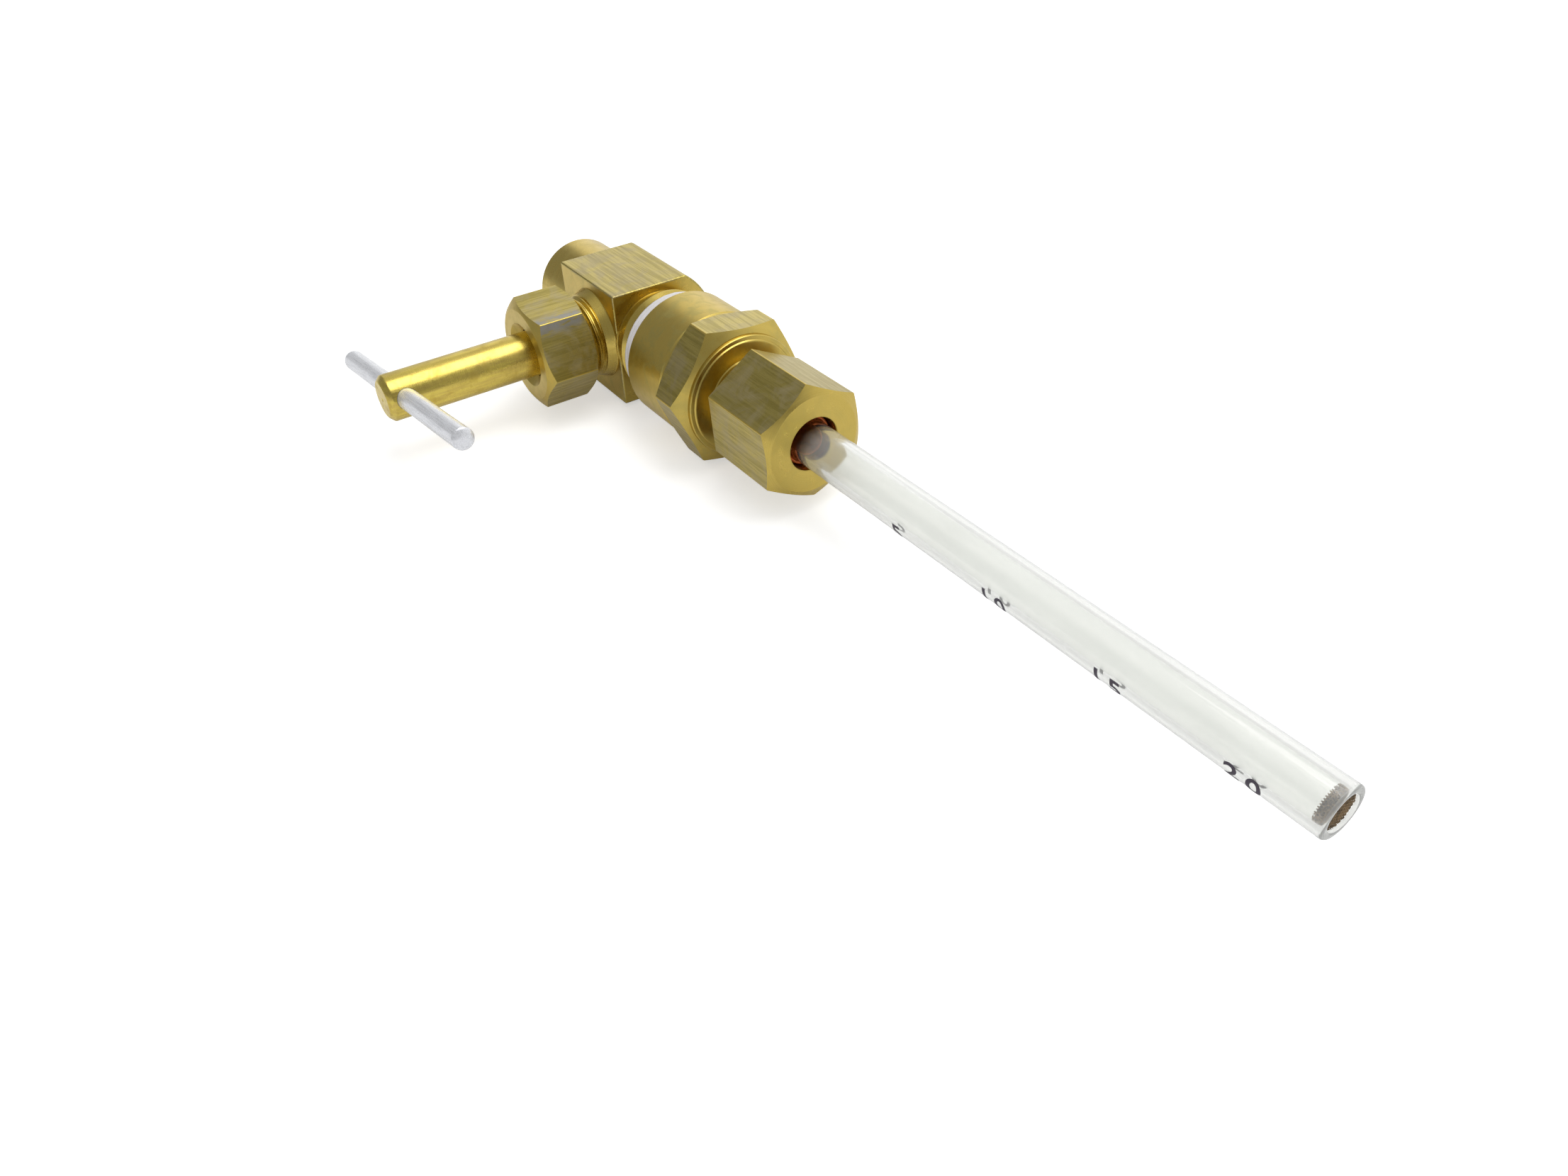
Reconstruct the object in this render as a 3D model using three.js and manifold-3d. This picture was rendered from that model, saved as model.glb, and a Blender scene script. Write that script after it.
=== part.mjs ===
// Gas sampling probe for flame and flue checks: a brass needle valve with a T handle, a pipe
// connector with a soft-seal compression nut, and a graduated glass tube with a wire gauze tip.
//
// Millimetres, +Z up. The main axis runs along +X from the inlet port to the tip of the tube.
// The valve stem runs along -Y. Both axes cross inside the valve block, and the last lines move
// the whole probe so that its origin is at the bottom centre of its box.

import * as THREE from 'three';
import { mergeVertices } from 'three/addons/utils/BufferGeometryUtils.js';
import Module from 'manifold-3d';

const wasm = await Module();
wasm.setup();

// ---------------------------------------------------------------- driving dimensions

const ROUND_SIDES = 48; // sides of a large turned surface
const SMALL_SIDES = 24; // sides of a small bore, pin or ring
const FIT = 0.12; // radial clearance of a piece that slides into or turns in another
const OVERRUN = 1; // cutters run past an open face, and joined shapes into each other, by this much
const HEX_FACE_SHARE = 0.94; // diameter of a chamfered hexagon's flat face over its width
const HEX_CHAMFER_ANGLE = 30;
const STACK_GAP = 0.12; // axial gap between stacked pieces

// Valve block, cut from round bar with flats on top, below and on the stem side
const BLOCK_REAR = 10.5; // from the stem axis back to the rear face
const BLOCK_FRONT = 7.4; // from the stem axis forward to the front face
const BLOCK_BAR_RADIUS = 11.6;
const BLOCK_HEIGHT = 18.8; // across the top and bottom flats
const BLOCK_STEM_FLAT = 7.4; // from the main axis out to the flat on the stem side
const BLOCK_SHIFT = 0.8; // the bar's own axis lies this far to the stem side of the main axis
const BLOCK_DROP = 0.7; // and this far below it
const INLET_HUB_RADIUS = 7.7;
const INLET_HUB_LENGTH = 10.0;
const INLET_PORT_RADIUS = 5.0;
const INLET_PORT_DEPTH = 11.5;
const HUB_CHAMFER = 0.7;
const OUTLET_NECK_DEPTH = 1.25; // relief between the block and the pipe thread
const OUTLET_NECK_LENGTH = 2.2;
const OUTLET_THREAD_RADIUS = 8.6;
const OUTLET_THREAD_LENGTH = 14.0;
const OUTLET_BORE_RADIUS = 4.5;
const PIPE_TAPER = 1 / 32; // loss of radius for each millimetre of pipe thread

// Flow passages and valve seat
const PASSAGE_RADIUS = 1.5;
const PASSAGE_OFFSET = 3.0; // each passage lies this far to one side of the main axis
const SEAT_RADIUS = 1.6;
const SEAT_LEVEL = 1.5; // from the main axis out along the stem axis

// Bonnet, packing and packing nut, measured out along the stem axis
const BONNET_WALL = 1.5; // round the packing, out to the bonnet thread
const BONNET_HUB_STEP = 0.8; // the hub tapers by this much to the bonnet thread
const BONNET_HUB_LENGTH = 1.9;
const PACKING_FLOOR = 11.0;
const PACKING_SECTION = 1.16; // radial width of the packing
const PACKING_WASHER_THICKNESS = 0.8;
const PACKING_RING_THICKNESS = 1.0;
const PACKING_RINGS = 4;
const FOLLOWER_LENGTH = 1.4;
const FOLLOWER_ENTRY = 0.48; // the follower reaches this far into the bonnet
const PACKING_NUT_AF = 15.6;
const PACKING_NUT_PHASE = 109.8; // angle of one hexagon corner, degrees
const PACKING_NUT_GAP = 1.8; // bare bonnet thread between the hub and the nut
const PACKING_NUT_WALL = 2.1;
const PACKING_NUT_COUNTERSINK = 1.3; // width and depth of the countersink round the stem

// Stem, needle and T handle
const STEM_RADIUS = 3.6;
const STEM_END = 43.6;
const STEM_CHAMFER = 0.8;
const STEM_THREAD_HEIGHT = 0.37; // the thread stands this far over the stem
const STEM_THREAD_START = 5.0;
const STEM_THREAD_LENGTH = 3.4;
const THREAD_PITCH = 1.058; // stem travel for each turn
const NEEDLE_RADIUS = 2.0;
const NEEDLE_TIP_RADIUS = 0.4;
const NEEDLE_HALF_ANGLE = 20;
const NEEDLE_NECK_RADIUS = 1.3;
const NEEDLE_NECK_LENGTH = 1.6;
const NEEDLE_HEAD_RADIUS = 1.9;
const NEEDLE_HEAD_LENGTH = 0.8;
const PIN_RADIUS = 1.65;
const PIN_LENGTH = 52.8;
const PIN_SHIFT = 0.8; // the pin stands out further on the tube side
const PIN_TILT = 10.1; // degrees about the stem axis
const PIN_FROM_STEM_END = 2.9;
const PIN_DOME = 0.7;

// Pipe connector
const BARE_THREAD = 5.7; // pipe thread that shows between the neck and the barrel
const BARREL_WALL = 1.6; // over the outlet thread
const BARREL_LENGTH = 10.3;
const CONNECTOR_PHASE = 114.0;
const CONNECTOR_HEX_LENGTH = 6.6;
const COLLAR_STEP = 0.8; // the collar is this much smaller than the barrel
const COLLAR_LENGTH = 0.9;
const GLAND_WALL = 1.4; // round the tube seal, out to the gland thread
const GLAND_THREAD_LENGTH = 10.9;
const CONNECTOR_WEB = 3.0; // solid web between the pipe thread and the tube socket
const PIPE_THREAD_DEPTH = 11.0;
const TAPE_THICKNESS = 0.3;
const TAPE_BUNCH_THICKNESS = 0.5; // where the tape bunches up outside the joint
const TAPE_BUNCH_LENGTH = 2.6;
const TAPE_ENGAGED = 6.0; // tape inside the barrel

// Tube seal and compression nut
const BACK_RING_LENGTH = 1.0;
const SLEEVE_LENGTH = 5.2;
const SLEEVE_WALL = 1.5;
const SLEEVE_NOSE_WALL = 0.43;
const SLIP_RING_LENGTH = 1.6;
const SLIP_RING_PROUD = 0.16; // the slip ring stands this far out of the connector
const SLEEVE_RECESS = 1.5; // nose of the sleeve below the face of the nut
const NUT_AF = 15.8;
const NUT_PHASE = 93.5;
const NUT_GAP = 3.0; // bare thread between the collar and the nut
const NUT_WALL = 5.9;
const NUT_BORE_GAP = 0.28; // round the nose of the sleeve

// Glass tube and gauze
const TUBE_RADIUS = 3.175;
const TUBE_WALL = 1.0;
const TUBE_LENGTH = 101.6;
const TUBE_LIP = 0.6; // rounding of the fire-polished tip
const CUSHION_THICKNESS = 0.7;
const GAUZE_WALL = 0.25;
const GAUZE_LENGTH = 1.1;
const GAUZE_RECESS = 0.6;

// ---------------------------------------------------------------- places worked out from them

const rad = THREE.MathUtils.degToRad;

// Along the main axis
const INLET_FACE = -BLOCK_REAR - INLET_HUB_LENGTH;
const NECK_FRONT = BLOCK_FRONT + OUTLET_NECK_LENGTH;
const OUTLET_END = NECK_FRONT + OUTLET_THREAD_LENGTH;
const BARREL_REAR = NECK_FRONT + BARE_THREAD;
const HEX_REAR = BARREL_REAR + BARREL_LENGTH;
const HEX_FRONT = HEX_REAR + CONNECTOR_HEX_LENGTH;
const COLLAR_FRONT = HEX_FRONT + COLLAR_LENGTH;
const GLAND_END = COLLAR_FRONT + GLAND_THREAD_LENGTH;
const SOCKET_FLOOR = BARREL_REAR + PIPE_THREAD_DEPTH + CONNECTOR_WEB;
const TUBE_REAR = SOCKET_FLOOR + CUSHION_THICKNESS + 2 * STACK_GAP;
const TUBE_TIP = TUBE_REAR + TUBE_LENGTH;
const SLIP_RING_REAR = GLAND_END + SLIP_RING_PROUD - SLIP_RING_LENGTH;
const SLEEVE_REAR = SLIP_RING_REAR - STACK_GAP - SLEEVE_LENGTH;
const BACK_RING_REAR = SLEEVE_REAR - STACK_GAP - BACK_RING_LENGTH;
const SEAL_FLOOR = BACK_RING_REAR - STACK_GAP;
const NUT_REAR = COLLAR_FRONT + NUT_GAP;
const NUT_SHOULDER = SLIP_RING_REAR + SLIP_RING_LENGTH + STACK_GAP;
const NUT_FACE = NUT_SHOULDER + NUT_WALL;
const SLEEVE_FRONT = NUT_FACE - SLEEVE_RECESS;

// Round the main axis
const OUTLET_NECK_RADIUS = OUTLET_THREAD_RADIUS - OUTLET_NECK_DEPTH;
const BARREL_RADIUS = OUTLET_THREAD_RADIUS + BARREL_WALL;
const CONNECTOR_AF = 2 * BARREL_RADIUS; // the barrel is turned to the width of the hexagon
const COLLAR_RADIUS = BARREL_RADIUS - COLLAR_STEP;
const TUBE_BORE_RADIUS = TUBE_RADIUS - TUBE_WALL;
const SOCKET_RADIUS = TUBE_RADIUS + FIT;
const SLEEVE_NOSE_RADIUS = SOCKET_RADIUS + SLEEVE_NOSE_WALL;
const SEAL_RADIUS = SOCKET_RADIUS + SLEEVE_WALL;
const SEAL_BORE_RADIUS = SEAL_RADIUS + FIT;
const GLAND_THREAD_RADIUS = SEAL_BORE_RADIUS + GLAND_WALL;
const NUT_BORE_RADIUS = SLEEVE_NOSE_RADIUS + NUT_BORE_GAP;

// Out along the stem axis
const BONNET_HUB_TOP = BLOCK_STEM_FLAT + BONNET_HUB_LENGTH;
const PACKING_START = PACKING_FLOOR + STACK_GAP;
const RINGS_START = PACKING_START + PACKING_WASHER_THICKNESS + STACK_GAP;
const RING_STEP = PACKING_RING_THICKNESS + STACK_GAP;
const FOLLOWER_START = RINGS_START + PACKING_RINGS * RING_STEP;
const BONNET_TOP = FOLLOWER_START + FOLLOWER_ENTRY;
const PACKING_NUT_REAR = BONNET_HUB_TOP + PACKING_NUT_GAP;
const PACKING_NUT_SHOULDER = FOLLOWER_START + FOLLOWER_LENGTH + STACK_GAP;
const PACKING_NUT_FACE = PACKING_NUT_SHOULDER + PACKING_NUT_WALL;
const NEEDLE_CONE = (NEEDLE_RADIUS - NEEDLE_TIP_RADIUS) / Math.tan(rad(NEEDLE_HALF_ANGLE));
const SEATED_DEPTH = (SEAT_RADIUS - FIT - NEEDLE_TIP_RADIUS) / Math.tan(rad(NEEDLE_HALF_ANGLE));
const NEEDLE_TIP = SEAT_LEVEL - SEATED_DEPTH + THREAD_PITCH; // one turn open
const NEEDLE_HEAD_START = STEM_THREAD_START + NEEDLE_NECK_LENGTH;
const PIN_LEVEL = STEM_END - PIN_FROM_STEM_END;

// Round the stem axis
const STEM_THREAD_RADIUS = STEM_RADIUS + STEM_THREAD_HEIGHT;
const PACKING_INNER = STEM_RADIUS + FIT;
const PACKING_OUTER = PACKING_INNER + PACKING_SECTION;
const PACKING_BORE_RADIUS = PACKING_OUTER + FIT;
const BONNET_THREAD_RADIUS = PACKING_BORE_RADIUS + BONNET_WALL;
const BONNET_HUB_RADIUS = BONNET_THREAD_RADIUS + BONNET_HUB_STEP;

// ---------------------------------------------------------------- materials

const metal = (color, roughness) => new THREE.MeshStandardMaterial({ color, roughness, metalness: 1 });
const plain = (color, roughness) => new THREE.MeshStandardMaterial({ color, roughness, metalness: 0 });
const brassBar = () => metal(0xa39a63, 0.42);
const brassTurned = () => metal(0xc9ac4a, 0.25);
const steel = () => metal(0xb9c2cf, 0.3);
const ptfe = () => plain(0xf0eef4, 0.6);
const redRubber = () => plain(0x8a3418, 0.5);
const fibre = () => plain(0xb8b0a2, 0.8);
const bronzeGauze = () => metal(0x7c6445, 0.55);
const glass = () => {
  const material = plain(0xe6ece4, 0.2);
  material.transparent = true;
  material.opacity = 0.35;
  return material;
};

// ---------------------------------------------------------------- solid helpers

// Makes a solid of a closed three.js geometry, with its faces pointing out.
function toSolid(geometry) {
  const bare = geometry.clone();
  bare.deleteAttribute('normal');
  bare.deleteAttribute('uv');
  const merged = mergeVertices(bare, 1e-4);
  const position = merged.getAttribute('position');
  const index = merged.index.array;
  const corners = [];
  let volume = 0;
  const [a, b, c] = [new THREE.Vector3(), new THREE.Vector3(), new THREE.Vector3()];
  for (let i = 0; i < index.length; i += 3) {
    const [p, q, r] = [index[i], index[i + 1], index[i + 2]];
    if (p === q || q === r || r === p) continue;
    corners.push(p, q, r);
    a.fromBufferAttribute(position, p);
    b.fromBufferAttribute(position, q);
    c.fromBufferAttribute(position, r);
    volume += a.dot(b.cross(c));
  }
  if (volume < 0) corners.reverse();
  return new wasm.Manifold(new wasm.Mesh({
    numProp: 3,
    vertProperties: new Float32Array(position.array),
    triVerts: new Uint32Array(corners),
  }));
}

function toGeometry(solid) {
  const mesh = solid.getMesh();
  const geometry = new THREE.BufferGeometry();
  geometry.setAttribute('position', new THREE.BufferAttribute(new Float32Array(mesh.vertProperties), 3));
  geometry.setIndex(new THREE.BufferAttribute(new Uint32Array(mesh.triVerts), 1));
  geometry.computeVertexNormals();
  return geometry;
}

const join = (...geometries) => geometries.map(toSolid).reduce((sum, next) => sum.add(next));
const cut = (solid, ...geometries) =>
  geometries.map(toSolid).reduce((left, next) => left.subtract(next), solid);

// A shape turned about X. The profile lists [x, radius] points; it closes itself when it is a
// ring, and starts and ends on the axis when it is not.
function turned(profile, sides = ROUND_SIDES) {
  const points = profile.map(([x, radius]) => new THREE.Vector2(radius, x));
  const isRing = profile[0][1] > 0;
  if (isRing) points.push(points[0].clone());
  return new THREE.LatheGeometry(points, sides).rotateZ(-Math.PI / 2);
}

const rod = (from, to, radius, sides) => turned([[from, 0], [from, radius], [to, radius], [to, 0]], sides);
const ring = (from, to, inner, outer) =>
  turned([[from, inner], [to, inner], [to, outer], [from, outer]]);

// A hexagonal bar along X with one corner at the phase angle, from +Y towards +Z.
function hexBar(from, to, acrossFlats, phase) {
  const shape = new THREE.Shape();
  const cornerRadius = acrossFlats / Math.sqrt(3);
  for (let k = 0; k < 6; k += 1) {
    const angle = rad(phase + 60 * k);
    const corner = [-cornerRadius * Math.sin(angle), cornerRadius * Math.cos(angle)];
    if (k === 0) shape.moveTo(...corner);
    else shape.lineTo(...corner);
  }
  const geometry = new THREE.ExtrudeGeometry(shape, { depth: to - from, bevelEnabled: false });
  return geometry.rotateY(Math.PI / 2).translate(from, 0, 0);
}

// A hexagonal bar whose corners are turned back to a cone at one end or both.
function chamferedHex(from, to, acrossFlats, phase, chamferRear, chamferFront) {
  const face = HEX_FACE_SHARE * acrossFlats / 2;
  const full = acrossFlats / Math.sqrt(3) + OVERRUN;
  const depth = (full - face) * Math.tan(rad(HEX_CHAMFER_ANGLE));
  const rear = chamferRear ? [[from, face], [from + depth, full]] : [[from, full]];
  const front = chamferFront ? [[to - depth, full], [to, face]] : [[to, full]];
  const cone = turned([[from, 0], ...rear, ...front, [to, 0]]);
  return toSolid(hexBar(from, to, acrossFlats, phase)).intersect(toSolid(cone));
}

// Moves a shape that was made along X onto the stem axis, which points along -Y.
const alongStem = (geometry) => geometry.rotateZ(-Math.PI / 2);

function piece(name, solid, material) {
  const mesh = new THREE.Mesh(toGeometry(solid), material);
  mesh.name = name;
  return mesh;
}

const pipeRadius = (x) => OUTLET_THREAD_RADIUS - (x - NECK_FRONT) * PIPE_TAPER;

// ---------------------------------------------------------------- needle valve

// The bar between its top, bottom and stem-side flats. Its far side stays round.
function valveBlock() {
  const bar = rod(-BLOCK_REAR, BLOCK_FRONT, BLOCK_BAR_RADIUS)
    .translate(0, -BLOCK_SHIFT, -BLOCK_DROP);
  const length = BLOCK_REAR + BLOCK_FRONT + 2 * OVERRUN;
  const depth = BLOCK_STEM_FLAT + BLOCK_BAR_RADIUS + OVERRUN;
  const flats = new THREE.BoxGeometry(length, depth, BLOCK_HEIGHT);
  flats.translate((BLOCK_FRONT - BLOCK_REAR) / 2, depth / 2 - BLOCK_STEM_FLAT, -BLOCK_DROP);
  return toSolid(bar).intersect(toSolid(flats));
}

function valveBody() {
  const inletHub = turned([
    [INLET_FACE, 0],
    [INLET_FACE, INLET_HUB_RADIUS - HUB_CHAMFER],
    [INLET_FACE + HUB_CHAMFER, INLET_HUB_RADIUS],
    [-BLOCK_REAR + OVERRUN, INLET_HUB_RADIUS],
    [-BLOCK_REAR + OVERRUN, 0],
  ]);
  const outlet = turned([
    [BLOCK_FRONT - OVERRUN, 0],
    [BLOCK_FRONT - OVERRUN, OUTLET_NECK_RADIUS],
    [NECK_FRONT, OUTLET_NECK_RADIUS],
    [NECK_FRONT, pipeRadius(NECK_FRONT)],
    [OUTLET_END, pipeRadius(OUTLET_END)],
    [OUTLET_END, 0],
  ]);
  const bonnet = alongStem(turned([
    [BLOCK_STEM_FLAT - OVERRUN, 0],
    [BLOCK_STEM_FLAT - OVERRUN, BONNET_HUB_RADIUS],
    [BLOCK_STEM_FLAT, BONNET_HUB_RADIUS],
    [BONNET_HUB_TOP, BONNET_THREAD_RADIUS],
    [BONNET_TOP, BONNET_THREAD_RADIUS],
    [BONNET_TOP, 0],
  ]));
  const portFloor = INLET_FACE + INLET_PORT_DEPTH;
  const inletPort = rod(INLET_FACE - OVERRUN, portFloor, INLET_PORT_RADIUS);
  const outletBore = rod(BLOCK_FRONT - OVERRUN, OUTLET_END + OVERRUN, OUTLET_BORE_RADIUS);
  const inletPassage = rod(portFloor - OVERRUN, 0, PASSAGE_RADIUS, SMALL_SIDES)
    .translate(0, PASSAGE_OFFSET, 0);
  const outletPassage = rod(0, BLOCK_FRONT + OVERRUN, PASSAGE_RADIUS, SMALL_SIDES)
    .translate(0, -PASSAGE_OFFSET, 0);
  const seatBore = rod(-PASSAGE_OFFSET, SEAT_LEVEL + OVERRUN, SEAT_RADIUS, SMALL_SIDES);
  const threadBore = rod(SEAT_LEVEL, PACKING_FLOOR + OVERRUN, STEM_THREAD_RADIUS + FIT, SMALL_SIDES);
  const packingBore = rod(PACKING_FLOOR, BONNET_TOP + OVERRUN, PACKING_BORE_RADIUS);
  return cut(valveBlock().add(join(inletHub, outlet, bonnet)), inletPort, outletBore, inletPassage,
    outletPassage, ...[seatBore, threadBore, packingBore].map(alongStem));
}

// Pieces on the stem axis are built along X and stand in a group that is turned onto -Y.
function stemGroup() {
  const group = new THREE.Group();
  group.rotation.z = -Math.PI / 2;
  group.add(
    piece('needle_tip', needleTip(), steel()),
    piece('valve_stem', valveStem(), brassTurned()),
    tHandlePin(),
    piece('packing_washer', packingStackRing(PACKING_START, PACKING_WASHER_THICKNESS), brassTurned()),
  );
  for (let k = 0; k < PACKING_RINGS; k += 1) {
    const solid = packingStackRing(RINGS_START + k * RING_STEP, PACKING_RING_THICKNESS);
    group.add(piece(`packing_ring_${k + 1}`, solid, ptfe()));
  }
  group.add(
    piece('gland_follower', packingStackRing(FOLLOWER_START, FOLLOWER_LENGTH), brassTurned()),
    piece('packing_nut', packingNut(), brassBar()),
  );
  return group;
}

function needleTip() {
  const coneEnd = NEEDLE_TIP + NEEDLE_CONE;
  const headEnd = NEEDLE_HEAD_START + NEEDLE_HEAD_LENGTH;
  const shoulder = STEM_THREAD_START - STACK_GAP;
  return toSolid(turned([
    [NEEDLE_TIP, 0],
    [NEEDLE_TIP, NEEDLE_TIP_RADIUS],
    [coneEnd, NEEDLE_RADIUS],
    [shoulder, NEEDLE_RADIUS],
    [shoulder, NEEDLE_NECK_RADIUS],
    [NEEDLE_HEAD_START, NEEDLE_NECK_RADIUS],
    [NEEDLE_HEAD_START, NEEDLE_HEAD_RADIUS],
    [headEnd, NEEDLE_HEAD_RADIUS],
    [headEnd, 0],
  ], SMALL_SIDES));
}

// The stem holds the head of the needle in a pocket, so the needle stays still on its seat while
// the stem turns.
function valveStem() {
  const threadEnd = STEM_THREAD_START + STEM_THREAD_LENGTH;
  const pocketStart = NEEDLE_HEAD_START - STACK_GAP;
  const pocketEnd = NEEDLE_HEAD_START + NEEDLE_HEAD_LENGTH + STACK_GAP;
  const mouthRadius = NEEDLE_NECK_RADIUS + FIT;
  const pocketRadius = NEEDLE_HEAD_RADIUS + FIT;
  const stem = turned([
    [pocketEnd, 0],
    [pocketEnd, pocketRadius],
    [pocketStart, pocketRadius],
    [pocketStart, mouthRadius],
    [STEM_THREAD_START, mouthRadius],
    [STEM_THREAD_START, STEM_THREAD_RADIUS],
    [threadEnd, STEM_THREAD_RADIUS],
    [threadEnd, STEM_RADIUS],
    [STEM_END - STEM_CHAMFER, STEM_RADIUS],
    [STEM_END, STEM_RADIUS - STEM_CHAMFER],
    [STEM_END, 0],
  ]);
  const hole = rod(-STEM_RADIUS - OVERRUN, STEM_RADIUS + OVERRUN, PIN_RADIUS + FIT, SMALL_SIDES)
    .rotateZ(Math.PI / 2)
    .rotateX(rad(PIN_TILT))
    .translate(PIN_LEVEL, 0, 0);
  return cut(toSolid(stem), hole);
}

function tHandlePin() {
  const end = PIN_LENGTH / 2;
  const facet = PIN_RADIUS - PIN_DOME;
  const pin = turned([
    [-end, 0],
    [-end, facet],
    [-end + PIN_DOME, PIN_RADIUS],
    [end - PIN_DOME, PIN_RADIUS],
    [end, facet],
    [end, 0],
  ], SMALL_SIDES).translate(PIN_SHIFT, 0, 0);
  const mesh = piece('t_handle_pin', toSolid(pin), steel());
  mesh.position.set(PIN_LEVEL, 0, 0);
  mesh.rotation.set(0, 0, Math.PI / 2);
  const turn = new THREE.Group();
  turn.rotation.x = rad(PIN_TILT);
  turn.add(mesh);
  return turn;
}

const packingStackRing = (from, thickness) =>
  toSolid(ring(from, from + thickness, PACKING_INNER, PACKING_OUTER));

function packingNut() {
  const bore = STEM_RADIUS + 2 * FIT;
  const sink = PACKING_NUT_COUNTERSINK;
  const hollow = turned([
    [PACKING_NUT_REAR - OVERRUN, 0],
    [PACKING_NUT_REAR - OVERRUN, BONNET_THREAD_RADIUS + FIT],
    [PACKING_NUT_SHOULDER, BONNET_THREAD_RADIUS + FIT],
    [PACKING_NUT_SHOULDER, bore],
    [PACKING_NUT_FACE - sink, bore],
    [PACKING_NUT_FACE + OVERRUN, bore + sink + OVERRUN],
    [PACKING_NUT_FACE + OVERRUN, 0],
  ]);
  const [from, to] = [PACKING_NUT_REAR, PACKING_NUT_FACE];
  return cut(chamferedHex(from, to, PACKING_NUT_AF, PACKING_NUT_PHASE, true, true), hollow);
}

// ---------------------------------------------------------------- connector and tube seal

// Tape wound on the pipe thread: bunched outside the joint, thin between the two threads.
function sealTape() {
  const inner = (x) => pipeRadius(x) + FIT;
  const rim = BARREL_REAR - STACK_GAP;
  const start = rim - TAPE_BUNCH_LENGTH;
  const end = BARREL_REAR + TAPE_ENGAGED;
  return toSolid(turned([
    [start, inner(start)],
    [end, inner(end)],
    [end, inner(end) + TAPE_THICKNESS],
    [rim, inner(rim) + TAPE_THICKNESS],
    [rim, inner(rim) + TAPE_BUNCH_THICKNESS],
    [start, inner(start) + TAPE_BUNCH_THICKNESS],
  ]));
}

function connectorBody() {
  const threadEnd = BARREL_REAR + PIPE_THREAD_DEPTH;
  const femaleRadius = (x) => pipeRadius(x) + TAPE_THICKNESS + 2 * FIT;
  const barrel = turned([
    [BARREL_REAR, 0],
    [BARREL_REAR, BARREL_RADIUS - HUB_CHAMFER / 2],
    [BARREL_REAR + HUB_CHAMFER / 2, BARREL_RADIUS],
    [HEX_REAR + OVERRUN, BARREL_RADIUS],
    [HEX_REAR + OVERRUN, COLLAR_RADIUS],
    [COLLAR_FRONT, COLLAR_RADIUS],
    [COLLAR_FRONT, GLAND_THREAD_RADIUS],
    [GLAND_END, GLAND_THREAD_RADIUS],
    [GLAND_END, 0],
  ]);
  const hexagon = chamferedHex(HEX_REAR, HEX_FRONT, CONNECTOR_AF, CONNECTOR_PHASE, true, true);
  const hollow = turned([
    [BARREL_REAR - OVERRUN, 0],
    [BARREL_REAR - OVERRUN, femaleRadius(BARREL_REAR - OVERRUN)],
    [threadEnd, femaleRadius(threadEnd)],
    [threadEnd, TUBE_BORE_RADIUS],
    [SOCKET_FLOOR, TUBE_BORE_RADIUS],
    [SOCKET_FLOOR, SOCKET_RADIUS],
    [SEAL_FLOOR, SOCKET_RADIUS],
    [SEAL_FLOOR, SEAL_BORE_RADIUS],
    [GLAND_END + OVERRUN, SEAL_BORE_RADIUS],
    [GLAND_END + OVERRUN, 0],
  ]);
  return cut(toSolid(barrel).add(hexagon), hollow);
}

function cushionWasher() {
  const rear = SOCKET_FLOOR + STACK_GAP;
  return toSolid(ring(rear, rear + CUSHION_THICKNESS, TUBE_BORE_RADIUS, TUBE_RADIUS));
}

const backRing = () =>
  toSolid(ring(BACK_RING_REAR, BACK_RING_REAR + BACK_RING_LENGTH, SOCKET_RADIUS, SEAL_RADIUS));

function sealingSleeve() {
  const noseStart = SLEEVE_REAR + SLEEVE_LENGTH;
  return toSolid(turned([
    [SLEEVE_REAR, SOCKET_RADIUS],
    [SLEEVE_FRONT, SOCKET_RADIUS],
    [SLEEVE_FRONT, SLEEVE_NOSE_RADIUS],
    [noseStart, SLEEVE_NOSE_RADIUS],
    [noseStart, SEAL_RADIUS],
    [SLEEVE_REAR, SEAL_RADIUS],
  ]));
}

function slipRing() {
  const inner = SLEEVE_NOSE_RADIUS + FIT;
  return toSolid(ring(SLIP_RING_REAR, SLIP_RING_REAR + SLIP_RING_LENGTH, inner, SEAL_RADIUS));
}

function compressionNut() {
  const hollow = turned([
    [NUT_REAR - OVERRUN, 0],
    [NUT_REAR - OVERRUN, GLAND_THREAD_RADIUS + FIT],
    [NUT_SHOULDER, GLAND_THREAD_RADIUS + FIT],
    [NUT_SHOULDER, NUT_BORE_RADIUS],
    [NUT_FACE + OVERRUN, NUT_BORE_RADIUS],
    [NUT_FACE + OVERRUN, 0],
  ]);
  return cut(chamferedHex(NUT_REAR, NUT_FACE, NUT_AF, NUT_PHASE, false, true), hollow);
}

// ---------------------------------------------------------------- glass tube and gauze

const glassTube = () => toSolid(turned([
  [TUBE_REAR, TUBE_BORE_RADIUS],
  [TUBE_TIP - TUBE_LIP / 2, TUBE_BORE_RADIUS],
  [TUBE_TIP, TUBE_BORE_RADIUS + TUBE_LIP / 3],
  [TUBE_TIP, TUBE_RADIUS - TUBE_LIP],
  [TUBE_TIP - TUBE_LIP / 3, TUBE_RADIUS - TUBE_LIP / 4],
  [TUBE_TIP - TUBE_LIP, TUBE_RADIUS],
  [TUBE_REAR, TUBE_RADIUS],
]));

// A thimble of wire gauze pushed into the tip, closed end outwards.
function gauzeThimble() {
  const face = TUBE_TIP - GAUZE_RECESS;
  const outer = TUBE_BORE_RADIUS - FIT;
  return toSolid(turned([
    [face - GAUZE_WALL, 0],
    [face - GAUZE_WALL, outer - GAUZE_WALL],
    [face - GAUZE_LENGTH, outer - GAUZE_WALL],
    [face - GAUZE_LENGTH, outer],
    [face, outer],
    [face, 0],
  ]));
}

// ---------------------------------------------------------------- assembly

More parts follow.
